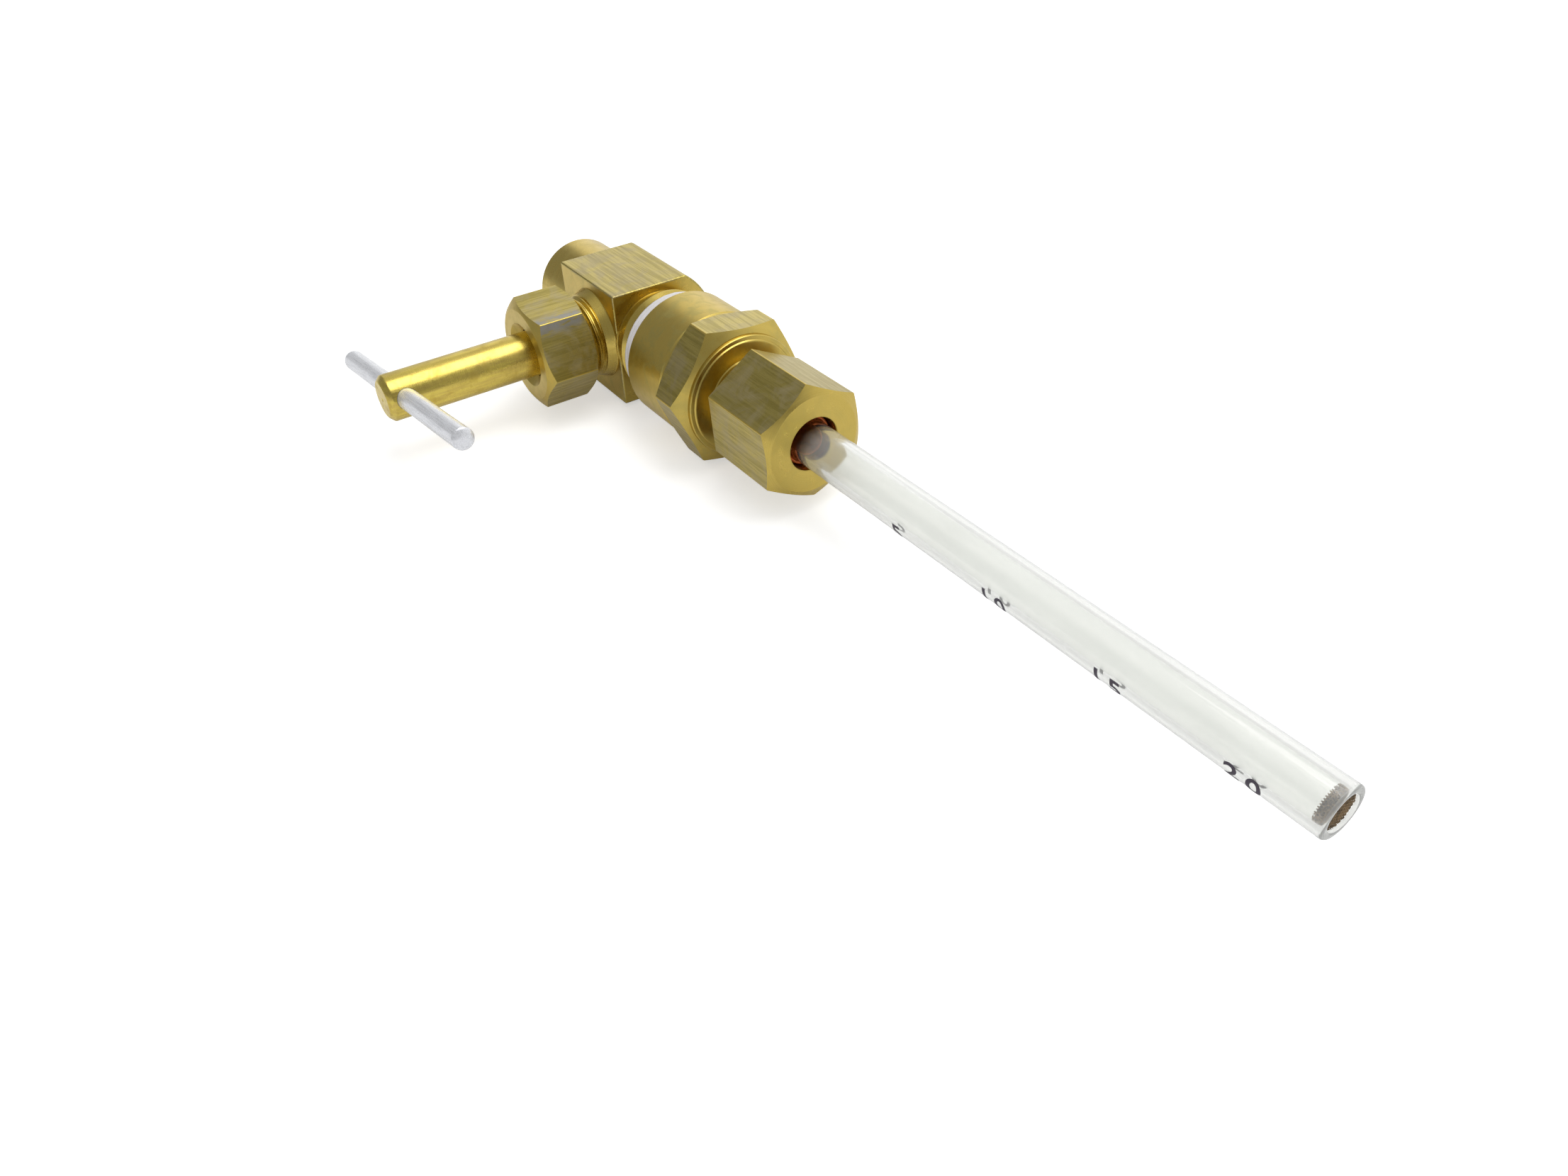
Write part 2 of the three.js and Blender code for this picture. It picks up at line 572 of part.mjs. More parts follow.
const probe = new THREE.Group();
probe.name = 'flame_sensor_probe';
probe.add(
  piece('valve_body', valveBody(), brassBar()),
  stemGroup(),
  piece('thread_seal_tape', sealTape(), ptfe()),
  piece('connector_body', connectorBody(), brassBar()),
  piece('cushion_washer', cushionWasher(), fibre()),
  piece('back_ring', backRing(), brassTurned()),
  piece('sealing_sleeve', sealingSleeve(), redRubber()),
  piece('slip_ring', slipRing(), brassTurned()),
  piece('compression_nut', compressionNut(), brassBar()),
  piece('glass_tube', glassTube(), glass()),
  piece('gauze_thimble', gauzeThimble(), bronzeGauze()),
);

probe.updateMatrixWorld(true);
const box = new THREE.Box3().setFromObject(probe, true);
const centre = box.getCenter(new THREE.Vector3());
probe.position.set(-centre.x, -centre.y, -box.min.z);

export default probe;
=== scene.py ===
"""Finished pieces of a flame sensor probe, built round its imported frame.

Lengths are metres. Two lines run through the probe: the main axis, along +X from the inlet to the
tip of the glass tube, and the stem axis, along -Y. They cross inside the valve block, and every
level below is measured from that crossing, outwards along one of the two.
"""

import math

import bpy
from bpy.props import FloatProperty, FloatVectorProperty, IntProperty, PointerProperty
from mathutils import Matrix, Vector


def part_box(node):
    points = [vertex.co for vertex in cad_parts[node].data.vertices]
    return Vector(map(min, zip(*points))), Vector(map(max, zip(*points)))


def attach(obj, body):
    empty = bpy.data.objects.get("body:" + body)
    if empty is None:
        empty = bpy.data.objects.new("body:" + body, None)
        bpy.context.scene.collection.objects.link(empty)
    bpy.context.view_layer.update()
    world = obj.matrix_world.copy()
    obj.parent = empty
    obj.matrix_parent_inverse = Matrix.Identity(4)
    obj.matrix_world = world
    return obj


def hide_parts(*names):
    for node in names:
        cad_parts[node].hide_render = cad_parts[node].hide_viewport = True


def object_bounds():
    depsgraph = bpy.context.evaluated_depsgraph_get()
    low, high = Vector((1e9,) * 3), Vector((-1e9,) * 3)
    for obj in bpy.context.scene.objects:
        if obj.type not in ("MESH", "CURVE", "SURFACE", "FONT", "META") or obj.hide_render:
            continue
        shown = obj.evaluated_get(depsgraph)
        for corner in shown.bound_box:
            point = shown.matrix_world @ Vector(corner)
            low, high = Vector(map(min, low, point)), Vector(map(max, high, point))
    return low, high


bl_info = {
    "name": "Flame Sensor Probe",
    "version": (1, 0, 0),
    "blender": (4, 5, 0),
    "location": "3D View > Sidebar > Probe",
    "description": "Models the finished pieces of a flame sensor probe and its stage",
    "category": "Object",
}

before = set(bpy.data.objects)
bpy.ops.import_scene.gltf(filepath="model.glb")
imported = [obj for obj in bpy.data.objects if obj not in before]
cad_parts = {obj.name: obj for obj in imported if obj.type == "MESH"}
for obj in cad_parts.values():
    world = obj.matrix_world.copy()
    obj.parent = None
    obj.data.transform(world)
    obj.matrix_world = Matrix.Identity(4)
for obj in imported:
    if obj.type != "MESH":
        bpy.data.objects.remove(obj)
CAD_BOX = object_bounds()
MM = 0.001
QUARTER = math.radians(90)


def middle(node):
    low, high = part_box(node)
    return (low + high) / 2


def half(node, side):
    low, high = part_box(node)
    return (high[side] - low[side]) / 2


CROSSING = Vector((middle("valve_stem").x, middle("glass_tube").y, middle("glass_tube").z))
ON_MAIN = Matrix.Translation(CROSSING) @ Matrix.Rotation(QUARTER, 4, "Y")
ON_STEM = Matrix.Translation(CROSSING) @ Matrix.Rotation(QUARTER, 4, "X")
STEM_TO_MAIN = ON_MAIN.inverted() @ ON_STEM


def along_main(node):
    """Where a node starts and ends along the main axis."""
    low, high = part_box(node)
    return low.x - CROSSING.x, high.x - CROSSING.x


def along_stem(node):
    """Where a node starts and ends along the stem axis."""
    low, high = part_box(node)
    return CROSSING.y - high.y, CROSSING.y - low.y


INLET_FACE, OUTLET_END = along_main("valve_body")
BARREL_REAR, GLAND_END = along_main("connector_body")
NUT_REAR, NUT_FACE = along_main("compression_nut")
SLEEVE_REAR, SLEEVE_FRONT = along_main("sealing_sleeve")
TAPE_START, TAPE_END = along_main("thread_seal_tape")
TUBE_REAR, TUBE_TIP = along_main("glass_tube")
GAUZE_REAR, GAUZE_FACE = along_main("gauze_thimble")
STEM_START, STEM_END = along_stem("valve_stem")
GLAND_NUT_REAR, GLAND_NUT_FACE = along_stem("packing_nut")
TUBE_RADIUS = half("glass_tube", 1)
GAUZE_RADIUS = half("gauze_thimble", 1)
SEAL_RADIUS = half("sealing_sleeve", 1)
PIN_LOW, PIN_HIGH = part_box("t_handle_pin")


# ---------------------------------------------------------------- sizes and colours

def length(name, size, about):
    return FloatProperty(name=name, description=about, default=size, unit="LENGTH", precision=5)


def mm(name, size, about):
    return length(name, size * MM, about)


def angle(name, degrees, about):
    return FloatProperty(name=name, description=about, default=math.radians(degrees),
                         subtype="ANGLE", unit="ROTATION")


def share(name, value, about):
    return FloatProperty(
        name=name, description=about, default=value, min=0, max=1, subtype="FACTOR")


def colour(name, red, green, blue, about):
    return FloatVectorProperty(
        name=name, description=about, default=(red, green, blue), min=0, max=1, subtype="COLOR")


class ValveSizes(bpy.types.PropertyGroup):
    block_rear: mm("Block rear", 10.5, "From the stem axis back to the rear face of the block")
    block_front: mm("Block front", 7.4, "From the stem axis forward to the front of the block")
    bar_radius: mm("Bar radius", 11.6, "Radius of the round bar that the block is cut from")
    bar_shift: mm("Bar shift", 0.8, "The bar lies this far to the stem side of the main axis")
    bar_drop: mm("Bar drop", 0.7, "The bar lies this far below the main axis")
    flat_height: mm("Flat height", 9.4, "From the bar's own axis to its top and bottom flats")
    stem_flat: mm("Stem flat", 7.4, "From the main axis to the flat on the stem side")
    block_edge: mm("Block edge", 0.32, "Width of the eased edges of the block")
    hub_radius: mm("Inlet hub radius", 7.7, "Radius of the round hub at the inlet")
    hub_chamfer: mm("Hub chamfer", 0.7, "Chamfer at the end of the inlet hub")
    port_radius: mm("Inlet port radius", 5.0, "Outer radius of the inlet's pipe thread")
    port_depth: mm("Inlet port depth", 11.5, "Depth of the inlet port")
    port_pitch: mm("Inlet pitch", 0.94, "Pitch of the inlet's pipe thread")
    neck_radius: mm("Neck radius", 7.35, "Radius of the relief in front of the block")
    neck_front: mm("Neck front", 9.6, "From the stem axis to the start of the outlet thread")
    thread_radius: mm("Outlet thread radius", 8.6, "Outer radius of the outlet's pipe thread")
    thread_pitch: mm("Outlet pitch", 1.41, "Pitch of the outlet's pipe thread")
    thread_depth: mm("Outlet thread depth", 0.62, "Depth of the outlet's thread")
    outlet_bore: mm("Outlet bore", 4.5, "Radius of the bore in the outlet")
    bonnet_hub: mm("Bonnet hub radius", 7.3, "Radius of the bonnet hub where it meets the block")
    bonnet_radius: mm("Bonnet radius", 6.5, "Outer radius of the bonnet thread")
    bonnet_hub_top: mm("Bonnet hub top", 9.3, "Where the hub has tapered to the bonnet thread")
    bonnet_top: mm("Bonnet top", 17.0, "Where the bonnet thread ends")
    bonnet_pitch: mm("Bonnet pitch", 1.0, "Pitch of the bonnet thread")
    bonnet_depth: mm("Bonnet thread depth", 0.42, "Depth of the bonnet thread")
    packing_bore: mm("Packing bore", 5.0, "Radius of the bore round the packing")
    packing_floor: mm("Packing floor", 11.0, "Where the packing bore starts")
    stem_bore: mm("Stem bore", 4.09, "Radius of the bore round the stem's thread")
    seat_level: mm("Seat level", 1.5, "Where the valve seat lies along the stem axis")
    seat_radius: mm("Seat radius", 1.6, "Radius of the valve seat")
    passage_radius: mm("Passage radius", 1.5, "Radius of the two flow passages")
    passage_offset: mm("Passage offset", 3.0, "Each passage lies this far off the main axis")


class HandleSizes(bpy.types.PropertyGroup):
    stem_radius: mm("Stem radius", 3.6, "Radius of the stem where it shows")
    stem_chamfer: mm("Stem chamfer", 0.8, "Chamfer at the end of the stem")
    thread_radius: mm("Thread radius", 3.97, "Outer radius of the stem's thread")
    thread_end: mm("Thread end", 8.4, "Where the stem's thread ends")
    thread_pitch: mm("Thread pitch", 1.058, "Stem travel for each turn")
    pocket_start: mm("Pocket start", 6.48, "Where the pocket for the needle's head starts")
    pocket_end: mm("Pocket end", 7.52, "Where the pocket for the needle's head ends")
    pocket_mouth: mm("Pocket mouth", 1.42, "Radius of the opening into the pocket")
    pocket_radius: mm("Pocket radius", 2.02, "Radius of the pocket")
    pin_radius: mm("Pin radius", 1.65, "Radius of the T handle's cross pin")
    pin_dome: mm("Pin dome", 0.55, "Height of the domed ends of the cross pin")
    pin_hole: mm("Pin hole", 1.69, "Radius of the hole for the pin")
    pin_tilt: angle("Pin tilt", 10.1, "Turn of the cross pin about the stem axis")


class GlandNutSizes(bpy.types.PropertyGroup):
    across: mm("Across flats", 15.6, "Width of the gland nut across its flats")
    corner: angle("Corner", 109.8, "Where one corner lies round the stem axis")
    shoulder: mm("Shoulder", 18.04, "Where the nut's shoulder rests on the follower")
    thread_radius: mm("Thread radius", 6.62, "Radius of the nut's thread")
    bore: mm("Bore", 3.84, "Radius of the nut's bore round the stem")
    sink: mm("Countersink", 1.3, "Width and depth of the countersink round the stem")


class ConnectorSizes(bpy.types.PropertyGroup):
    radius: mm("Barrel radius", 10.2, "Radius of the barrel, and half the width of the hexagon")
    corner: angle("Corner", 114, "Where one corner of the hexagon lies round the main axis")
    hex_rear: mm("Hexagon rear", 25.6, "Where the hexagon starts")
    hex_front: mm("Hexagon front", 32.2, "Where the hexagon ends")
    rim_edge: mm("Barrel edge", 0.35, "Chamfer at the open end of the barrel")
    collar_radius: mm("Collar radius", 9.4, "Radius of the collar in front of the hexagon")
    collar_front: mm("Collar front", 33.1, "Where the collar ends")
    thread_radius: mm("Gland thread radius", 6.315, "Outer radius of the gland thread")
    thread_depth: mm("Gland thread depth", 0.4, "Depth of the gland thread")
    thread_pitch: mm("Gland thread pitch", 1.0, "Pitch of the gland thread")
    relief: mm("Relief", 1.3, "Length of the plain relief behind the gland thread")
    pipe_bore: mm("Pipe bore", 9.04, "Radius at the mouth of the tapered bore for the outlet")
    pipe_depth: mm("Pipe depth", 11.0, "Depth of the bore for the outlet")
    web: mm("Web", 3.0, "Thickness of the web between the two bores")
    web_bore: mm("Web bore", 2.175, "Radius of the hole through the web")
    socket_radius: mm("Socket radius", 3.295, "Radius of the socket for the glass tube")
    seal_floor: mm("Seal floor", 36.0, "Where the bore for the tube seal starts")
    seal_bore: mm("Seal bore", 4.915, "Radius of the bore round the tube seal")


class GlassNutSizes(bpy.types.PropertyGroup):
    across: mm("Across flats", 15.8, "Width of the compression nut across its flats")
    corner: angle("Corner", 93.5, "Where one corner lies round the main axis")
    shoulder: mm("Shoulder", 44.28, "Where the nut's shoulder rests on the slip ring")
    thread_radius: mm("Thread radius", 6.435, "Radius of the nut's thread")
    bore: mm("Bore", 4.005, "Radius of the nut's bore round the seal")
    bore_edge: mm("Bore edge", 0.16, "Easing at the mouth of the bore")


class GlassSizes(bpy.types.PropertyGroup):
    wall: mm("Wall", 1.0, "Wall of the glass tube")
    lip: mm("Lip", 0.34, "Rounding of the fire-polished tip")
    digit_height: mm("Digit height", 2.15, "Height of the printed numbers")
    digit_stretch: FloatProperty(
        name="Digit stretch", description="Width of the numbers over a plain face's", default=1.2)
    digit_lift: mm("Digit lift", 0.012, "The ink stands this far off the glass")
    ink: mm("Ink", 0.02, "Thickness of the ink")
    first_mark: mm("First mark", 71.5, "Where the first number is printed")
    mark_step: mm("Mark step", 17.23, "Distance from one number to the next")
    mark_turn: angle("Mark turn", 208, "Where the first number lies round the tube")
    mark_drift: angle("Mark drift", -2.2, "Turn of each number from the one before")
    mark_count: IntProperty(name="Marks", description="How many numbers are printed", default=4)
    mark_value: IntProperty(name="Step value", description="The first number printed", default=5)


class GauzeSizes(bpy.types.PropertyGroup):
    wire: mm("Wire", 0.066, "Radius of the gauze wire")
    pitch: mm("Pitch", 0.27, "Distance between neighbouring wires")
    bulge: mm("Bulge", 0.30, "How far the woven face stands out of the plain thimble")
    layers: IntProperty(name="Layers", description="Discs of gauze in the plug", default=3)
    layer_step: mm("Layer step", 0.26, "Depth from one disc to the next")


class MetalColours(bpy.types.PropertyGroup):
    bar: colour("Bar brass", 0.52, 0.42, 0.12, "Drawn faces of brass bar")
    bar_dark: colour("Bar streak", 0.33, 0.265, 0.062, "Dark drawing streaks")
    bar_grey: colour("Bar tarnish", 0.47, 0.405, 0.25, "Tarnish on the drawn faces")
    turned: colour("Turned brass", 0.61, 0.46, 0.115, "Brass faces fresh off the tool")
    turned_dark: colour("Turned shadow", 0.43, 0.29, 0.042, "Darker tool marks")
    bright: colour("Bright brass", 0.74, 0.59, 0.125, "Polished brass of the stem")
    steel: colour("Steel", 0.93, 0.945, 0.985, "The T handle's cross pin")
    scrape: colour("Scrape", 0.34, 0.335, 0.32, "Scraped grey patch on the gland nut")
    wire: colour("Gauze wire", 0.31, 0.215, 0.115, "Bronze gauze")


class SoftColours(bpy.types.PropertyGroup):
    tape: colour("Thread tape", 0.87, 0.845, 0.85, "White tape on the pipe thread")
    rubber: colour("Tube seal", 0.90, 0.20, 0.035, "Red silicone round the glass tube")
    fibre: colour("Fibre", 0.48, 0.43, 0.36, "Cushion washer under the glass tube")
    packing: colour("Packing", 0.86, 0.85, 0.84, "White rings round the stem")
    glass: colour("Glass", 0.945, 0.955, 0.925, "The glass tube")
    # The held glass's grey is painted shade: it darkens the clear tube inside the nut's mouth.
    held_glass: colour("Held glass", 0.80, 0.80, 0.78, "The part of the tube that the gland holds")
    ink: colour("Ink", 0.035, 0.022, 0.045, "The printed numbers")


class StageSettings(bpy.types.PropertyGroup):
    camera_place: FloatVectorProperty(
        name="Camera place", description="The camera, measured from the crossing of the axes",
        default=(0.15961, -0.07913, 0.08238), subtype="TRANSLATION", unit="LENGTH")
    camera_turn: FloatVectorProperty(
        name="Camera turn", description="The camera's turn",
        default=[math.radians(a) for a in (51.435, 1.740, 54.855)], subtype="EULER")
    lens: FloatProperty(name="Lens", description="Focal length in mm", default=26.074)
    floor_size: length("Floor size", 6.0, "Side of the pale floor")
    floor_colour: colour("Floor colour", 0.93, 0.93, 0.935, "Paper white")
    room: share("Room light", 0.54, "Strength of the plain light from all round")
    lamp: FloatProperty(name="Lamp", description="Strength of the overhead lamp", default=1.75)
    sweep: FloatProperty(
        name="Sweep", description="Strength of the rear light panel", default=0.35)
    lift: share("Floor lift", 0.5, "Brings the seen floor up to white")


GROUPS = {
    "valve": ValveSizes, "handle": HandleSizes, "gland_nut": GlandNutSizes,
    "connector": ConnectorSizes, "glass_nut": GlassNutSizes, "glass": GlassSizes,
    "gauze": GauzeSizes, "metal": MetalColours, "soft": SoftColours, "stage": StageSettings,
}


class ProbeSettings(bpy.types.PropertyGroup):
    __annotations__ = {name: PointerProperty(type=kind) for name, kind in GROUPS.items()}


# ---------------------------------------------------------------- bench tools

SIDES = 128  # steps of a turned surface
FINE_SIDES, SOME_SIDES, FEW_SIDES = 160, 64, 32
BAR_SIDES = 192
THREAD_STEPS = 72  # of one turn of a screw thread
PIPE_TAPER = 1 / 32  # radius lost over a length
HEX_CHAMFER = math.radians(30)
HEX_FACE_SHARE = 0.94  # of the width across flats, left flat by the chamfer
OVERRUN = 1 * MM  # how far a cutter reaches past what it cuts
SNAP = 1e-7


def mode(kind):
    bpy.ops.object.mode_set(mode=kind)


def clear():
    """Back to object mode with nothing selected."""
    if bpy.context.mode != "OBJECT":
        mode("OBJECT")
    bpy.ops.object.select_all(action="DESELECT")


def pick(obj):
    clear()
    obj.select_set(True)
    bpy.context.view_layer.objects.active = obj
    return obj


def edit(obj, action="SELECT", kind="VERT"):
    pick(obj)
    mode("EDIT")
    bpy.ops.mesh.select_mode(type=kind)
    bpy.ops.mesh.select_all(action=action)


def named(name):
    obj = bpy.context.object
    obj.name = obj.data.name = name
    return obj


def drawn(name, points):
    """An open line in the XZ plane through (radius, height) points, drawn from one vertex."""
    clear()
    bpy.ops.mesh.primitive_plane_add(size=MM)
    obj = named(name)
    edit(obj)
    bpy.ops.mesh.merge(type="CENTER")
    here = Vector()
    for count, (radius, height) in enumerate(points):
        there = Vector((radius, 0, height))
        if count:
            bpy.ops.mesh.extrude_region_move(TRANSFORM_OT_translate={"value": there - here})
        else:
            bpy.ops.transform.translate(value=there)
        here = there
    return obj


def weld():
    """Merges doubles, points the faces outwards and leaves edit mode."""
    bpy.ops.mesh.select_all(action="SELECT")
    bpy.ops.mesh.remove_doubles(threshold=SNAP)
    bpy.ops.mesh.normals_make_consistent(inside=False)
    mode("OBJECT")


def bisect(point, normal, **settings):
    """Cuts the whole mesh along a plane, in edit mode."""
    bpy.ops.mesh.select_all(action="SELECT")
    bpy.ops.mesh.bisect(plane_co=point, plane_no=normal, threshold=SNAP, **settings)


def near(radius, level, *steps):
    """Points of a turned line, each some (outward, along) millimetres from one corner."""
    return [(radius + out * MM, level + along * MM) for out, along in steps]


def turned(name, points, steps=SIDES):
    """A closed shape turned about Z from (radius, height) points. A ring's line closes itself."""
    if points[0][0] > 0:
        points = [*points, points[0]]
    obj = drawn(name, points)
    bpy.ops.mesh.select_all(action="SELECT")
    bpy.ops.mesh.spin(steps=steps, angle=2 * math.pi, center=(0, 0, 0), axis=(0, 0, 1))
    weld()
    return obj


def solid(name, points, steps=SIDES):
    """A turned shape with no hole: its line is carried in to the axis at both ends."""
    return turned(name, [(0, points[0][1]), *points, (0, points[-1][1])], steps)


def rod(name, start, end, radius, steps=SIDES):
    return solid(name, [(radius, start), (radius, end)], steps)


def modify(obj, kind, **settings):
    """Adds a modifier with these settings and applies it."""
    pick(obj)
    modifier = obj.modifiers.new(kind.title(), kind)
    for setting, value in settings.items():
        setattr(modifier, setting, value)
    bpy.ops.object.modifier_apply(modifier=modifier.name)
    return obj


def combine(how, obj, *others):
    """Joins, cuts or trims obj by the others, which are used up."""
    for other in others:
        modify(obj, "BOOLEAN", operation=how, object=other, solver="MANIFOLD")
        bpy.data.meshes.remove(other.data)
    if not obj.data.polygons:
        raise RuntimeError(f"nothing was left of {obj.name}")
    return obj


def join(name, parts):
    """Puts parts into one mesh, the first of them, without merging anything."""
    pick(parts[0])
    for part in parts:
        part.select_set(True)
    bpy.ops.object.join()
    return named(name)


def ease(obj, width, segments, over):
    """Rounds every edge that is sharper than an angle in degrees."""
    return modify(
        obj, "BEVEL", width=width, segments=segments, limit_method="ANGLE",
        angle_limit=math.radians(over), use_clamp_overlap=True)


def shift(obj, place=Matrix()):
    """Moves a piece to its place and leaves that place in its mesh."""
    pick(obj)
    obj.matrix_world = place @ obj.matrix_world
    bpy.ops.object.transform_apply(location=True, rotation=True, scale=True)
    return obj


def up(height):
    return Matrix.Translation((0, 0, height))


def threaded(name, crest, depth, pitch, start, end, taper=0.0):
    """A rod with a right-hand screw thread from start to end, closed at both ends."""
    root = crest - depth
    tooth = [(root, 0), (root, 0.08), (crest, 0.45), (crest, 0.55), (root, 0.92), (root, 1)]
    obj = drawn(name, [(radius, height * pitch) for radius, height in tooth])
    modify(
        obj, "SCREW", axis="Z", angle=2 * math.pi, screw_offset=pitch,
        iterations=math.ceil((end - start) / pitch) + 3,  # the cuts below take the spare turns
        steps=THREAD_STEPS, render_steps=THREAD_STEPS, use_smooth_shade=False)
    shift(obj, up(start - 1.5 * pitch))
    edit(obj)
    bpy.ops.mesh.remove_doubles(threshold=20 * SNAP)
    for level, outer in ((start, False), (end, True)):
        bisect((0, 0, level), (0, 0, 1), use_fill=True, clear_inner=not outer, clear_outer=outer)
    weld()
    if taper:
        shift(obj, up(-start))
        modify(obj, "SIMPLE_DEFORM", deform_method="TAPER", deform_axis="Z",
               factor=-taper * (end - start) / crest)
        shift(obj, up(start))
    return obj


def hex_bar(name, rear, front, across, corner, edge, rear_cone=True):
    """A hexagonal bar along Z, its corners turned back to a cone in front and often behind.
    One corner lies at the angle given, which is measured from +X towards +Y.
    """
    clear()
    bpy.ops.mesh.primitive_cylinder_add(
        vertices=6, radius=across / math.sqrt(3), depth=front - rear,
        location=(0, 0, (front + rear) / 2), rotation=(0, 0, corner - QUARTER))
    obj = shift(named(name))
    edit(obj, "DESELECT", "EDGE")
    mode("OBJECT")
    for line in obj.data.edges:
        low, high = (obj.data.vertices[v].co for v in line.vertices)
        line.select = abs(low.z - high.z) > (front - rear) / 2
    mode("EDIT")
    bpy.ops.mesh.bevel(offset=edge, segments=3, affect="EDGES")
    mode("OBJECT")
    face = HEX_FACE_SHARE * across / 2
    full = across / math.sqrt(3) + OVERRUN
    run = (full - face) * math.tan(HEX_CHAMFER)
    soft = 0.1 * MM
    rise = soft * math.tan(HEX_CHAMFER)
    behind = [(face - soft, rear), (face + soft / 2, rear + rise), (full, rear + run)]
    ahead = [(full, front - run), (face + soft / 2, front - rise), (face - soft, front)]
    return combine("INTERSECT", obj, solid(
        "cone", [*(behind if rear_cone else [(full, rear)]), *ahead]))


def nut(name, size, rear, face, corner, edge, rear_cone, depth, pitch, mouth):
    """A hexagon nut along Z, threaded to its shoulder. Mouth is the line of its bore in front."""
    obj = hex_bar(name, rear, face, size.across, corner, edge, rear_cone)
    thread = threaded("thread", size.thread_radius, depth, pitch, rear - OVERRUN, size.shoulder)
    clearance = rod("clearance", rear - OVERRUN, size.shoulder, size.thread_radius - 0.01 * MM)
    combine("UNION", clearance, thread)
    bore = solid("bore", [(size.bore, size.shoulder - OVERRUN), *mouth])
    return combine("DIFFERENCE", obj, clearance, bore)


def flats_first(across, axis):
    """Chooses finish 0 for the flats of a nut along one axis and 1 for what is turned."""
    def chooser(centre, normal):
        spot = centre - CROSSING
        spot[axis] = 0
        off = abs(normal.dot(spot) - across / 2)
        return 0 if off < 0.06 * MM and abs(normal[axis]) < 0.2 else 1
    return chooser


def tidy(obj):
    """Takes out slivers that a cut leaves behind."""
    edit(obj)
    bpy.ops.mesh.remove_doubles(threshold=4 * SNAP)
    bpy.ops.mesh.dissolve_degenerate(threshold=4 * SNAP)
    mode("OBJECT")
    return obj


def fit(obj, over, body, slot, *nodes):
    """Shades a finished piece, hangs it on its body and hides the CAD nodes it stands for.
    Its slot is not used. Edges over that many degrees stay sharp.
    """
    pick(obj)
    bpy.ops.object.shade_smooth_by_angle(angle=math.radians(over))
    modify(obj, "WEIGHTED_NORMAL", keep_sharp=True, weight=60)
    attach(obj, body)
    if nodes:
        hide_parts(*nodes)


def clad(obj, *finishes, chooser=None):
    """Puts finishes on a piece. The chooser gives each face's place among them."""
    obj.data.materials.clear()
    for finish in finishes:
        obj.data.materials.append(finish)
    for face in obj.data.polygons:
        face.material_index = chooser(face.center, face.normal) if chooser else 0


# ---------------------------------------------------------------- shader maths

class Wire:
    """One socket of a node tree, and the sums that are done on it."""

    def __init__(self, wiring, socket):
        self.wiring = wiring
        self.socket = socket

    def __add__(self, other):
        return self.wiring.sum("ADD", self, other)

    def __sub__(self, other):
        return self.wiring.sum("SUBTRACT", self, other)

    def __rsub__(self, other):
        return self.wiring.sum("SUBTRACT", other, self)

    def __mul__(self, other):
        return self.wiring.sum("MULTIPLY", self, other)

    def __pow__(self, other):
        return self.wiring.sum("POWER", self, other)

    __radd__ = __add__
    __rmul__ = __mul__


class Wiring:
    """A node tree being wired up."""

    def __init__(self, tree):
        self.tree = tree

    def node(self, kind, settings=None, out=0, **sockets):
        """Adds a node, its settings first, and returns the wire from one of its outputs."""
        node = self.tree.nodes.new("ShaderNode" + kind)
        for setting, value in (settings or {}).items():
            setattr(node, setting, value)
        for socket, value in sockets.items():
            key = int(socket[1:]) if socket[1:].isdigit() else socket.replace("_", " ")
            self.plug(node.inputs[key], value)
        return Wire(self, node.outputs[out])

    def plug(self, socket, value):
        if isinstance(value, Wire):
            self.tree.links.new(value.socket, socket)
        elif isinstance(value, (int, float)) or len(value) != 3 or socket.type == "VECTOR":
            socket.default_value = value
        else:
            socket.default_value = (*value, 1)

    def sum(self, operation, a, b=0.0, c=0.0):
        return self.node("Math", {"operation": operation}, i0=a, i1=b, i2=c)

    def mix(self, share, a, b):
        """A colour between a and b."""
        return self.node("Mix", {"data_type": "RGBA"}, 2, i0=share, i6=a, i7=b)

    def fade(self, value, low, high):
        """Goes smoothly from 0 to 1 while the value goes from low to high."""
        return self.node(
            "MapRange", {"interpolation_type": "SMOOTHSTEP"}, Value=value, From_Min=low,
            From_Max=high, To_Min=0.0, To_Max=1.0)

    def noise(self, place, scale, detail=3.0, roughness=0.55, distortion=0.0):
        return self.node("TexNoise", Vector=place, Scale=scale, Detail=detail,
                         Roughness=roughness, Distortion=distortion)

    def place(self, turn=(0, 0, 0)):
        """Millimetres from the crossing of the axes, turned if need be."""
        return self.node(
            "Mapping", {"vector_type": "POINT"}, Vector=self.node("TexCoord", out=3),
            Scale=(1 / MM,) * 3, Location=tuple(-CROSSING / MM), Rotation=turn)

    def split(self, vector):
        node = self.tree.nodes.new("ShaderNodeSeparateXYZ")
        self.plug(node.inputs[0], vector)
        return [Wire(self, output) for output in node.outputs]

    def joined(self, x, y, z):
        return self.node("CombineXYZ", X=x, Y=y, Z=z)

    def along(self, axis):
        """(level, side, other side, radius) of a point round the main or the stem axis."""
        x, y, z = self.split(self.place())
        if axis == "stem":
            x, y = self.sum("MULTIPLY", y, -1.0), x
        return x, y, z, (y ** 2.0 + z ** 2.0) ** 0.5

    def rays(self):
        """1 for a ray from the camera, off a glossy surface or through glass, and else 0."""
        path = self.tree.nodes.new("ShaderNodeLightPath")
        return [Wire(self, path.outputs[f"Is {kind} Ray"])
                for kind in ("Camera", "Glossy", "Transmission")]


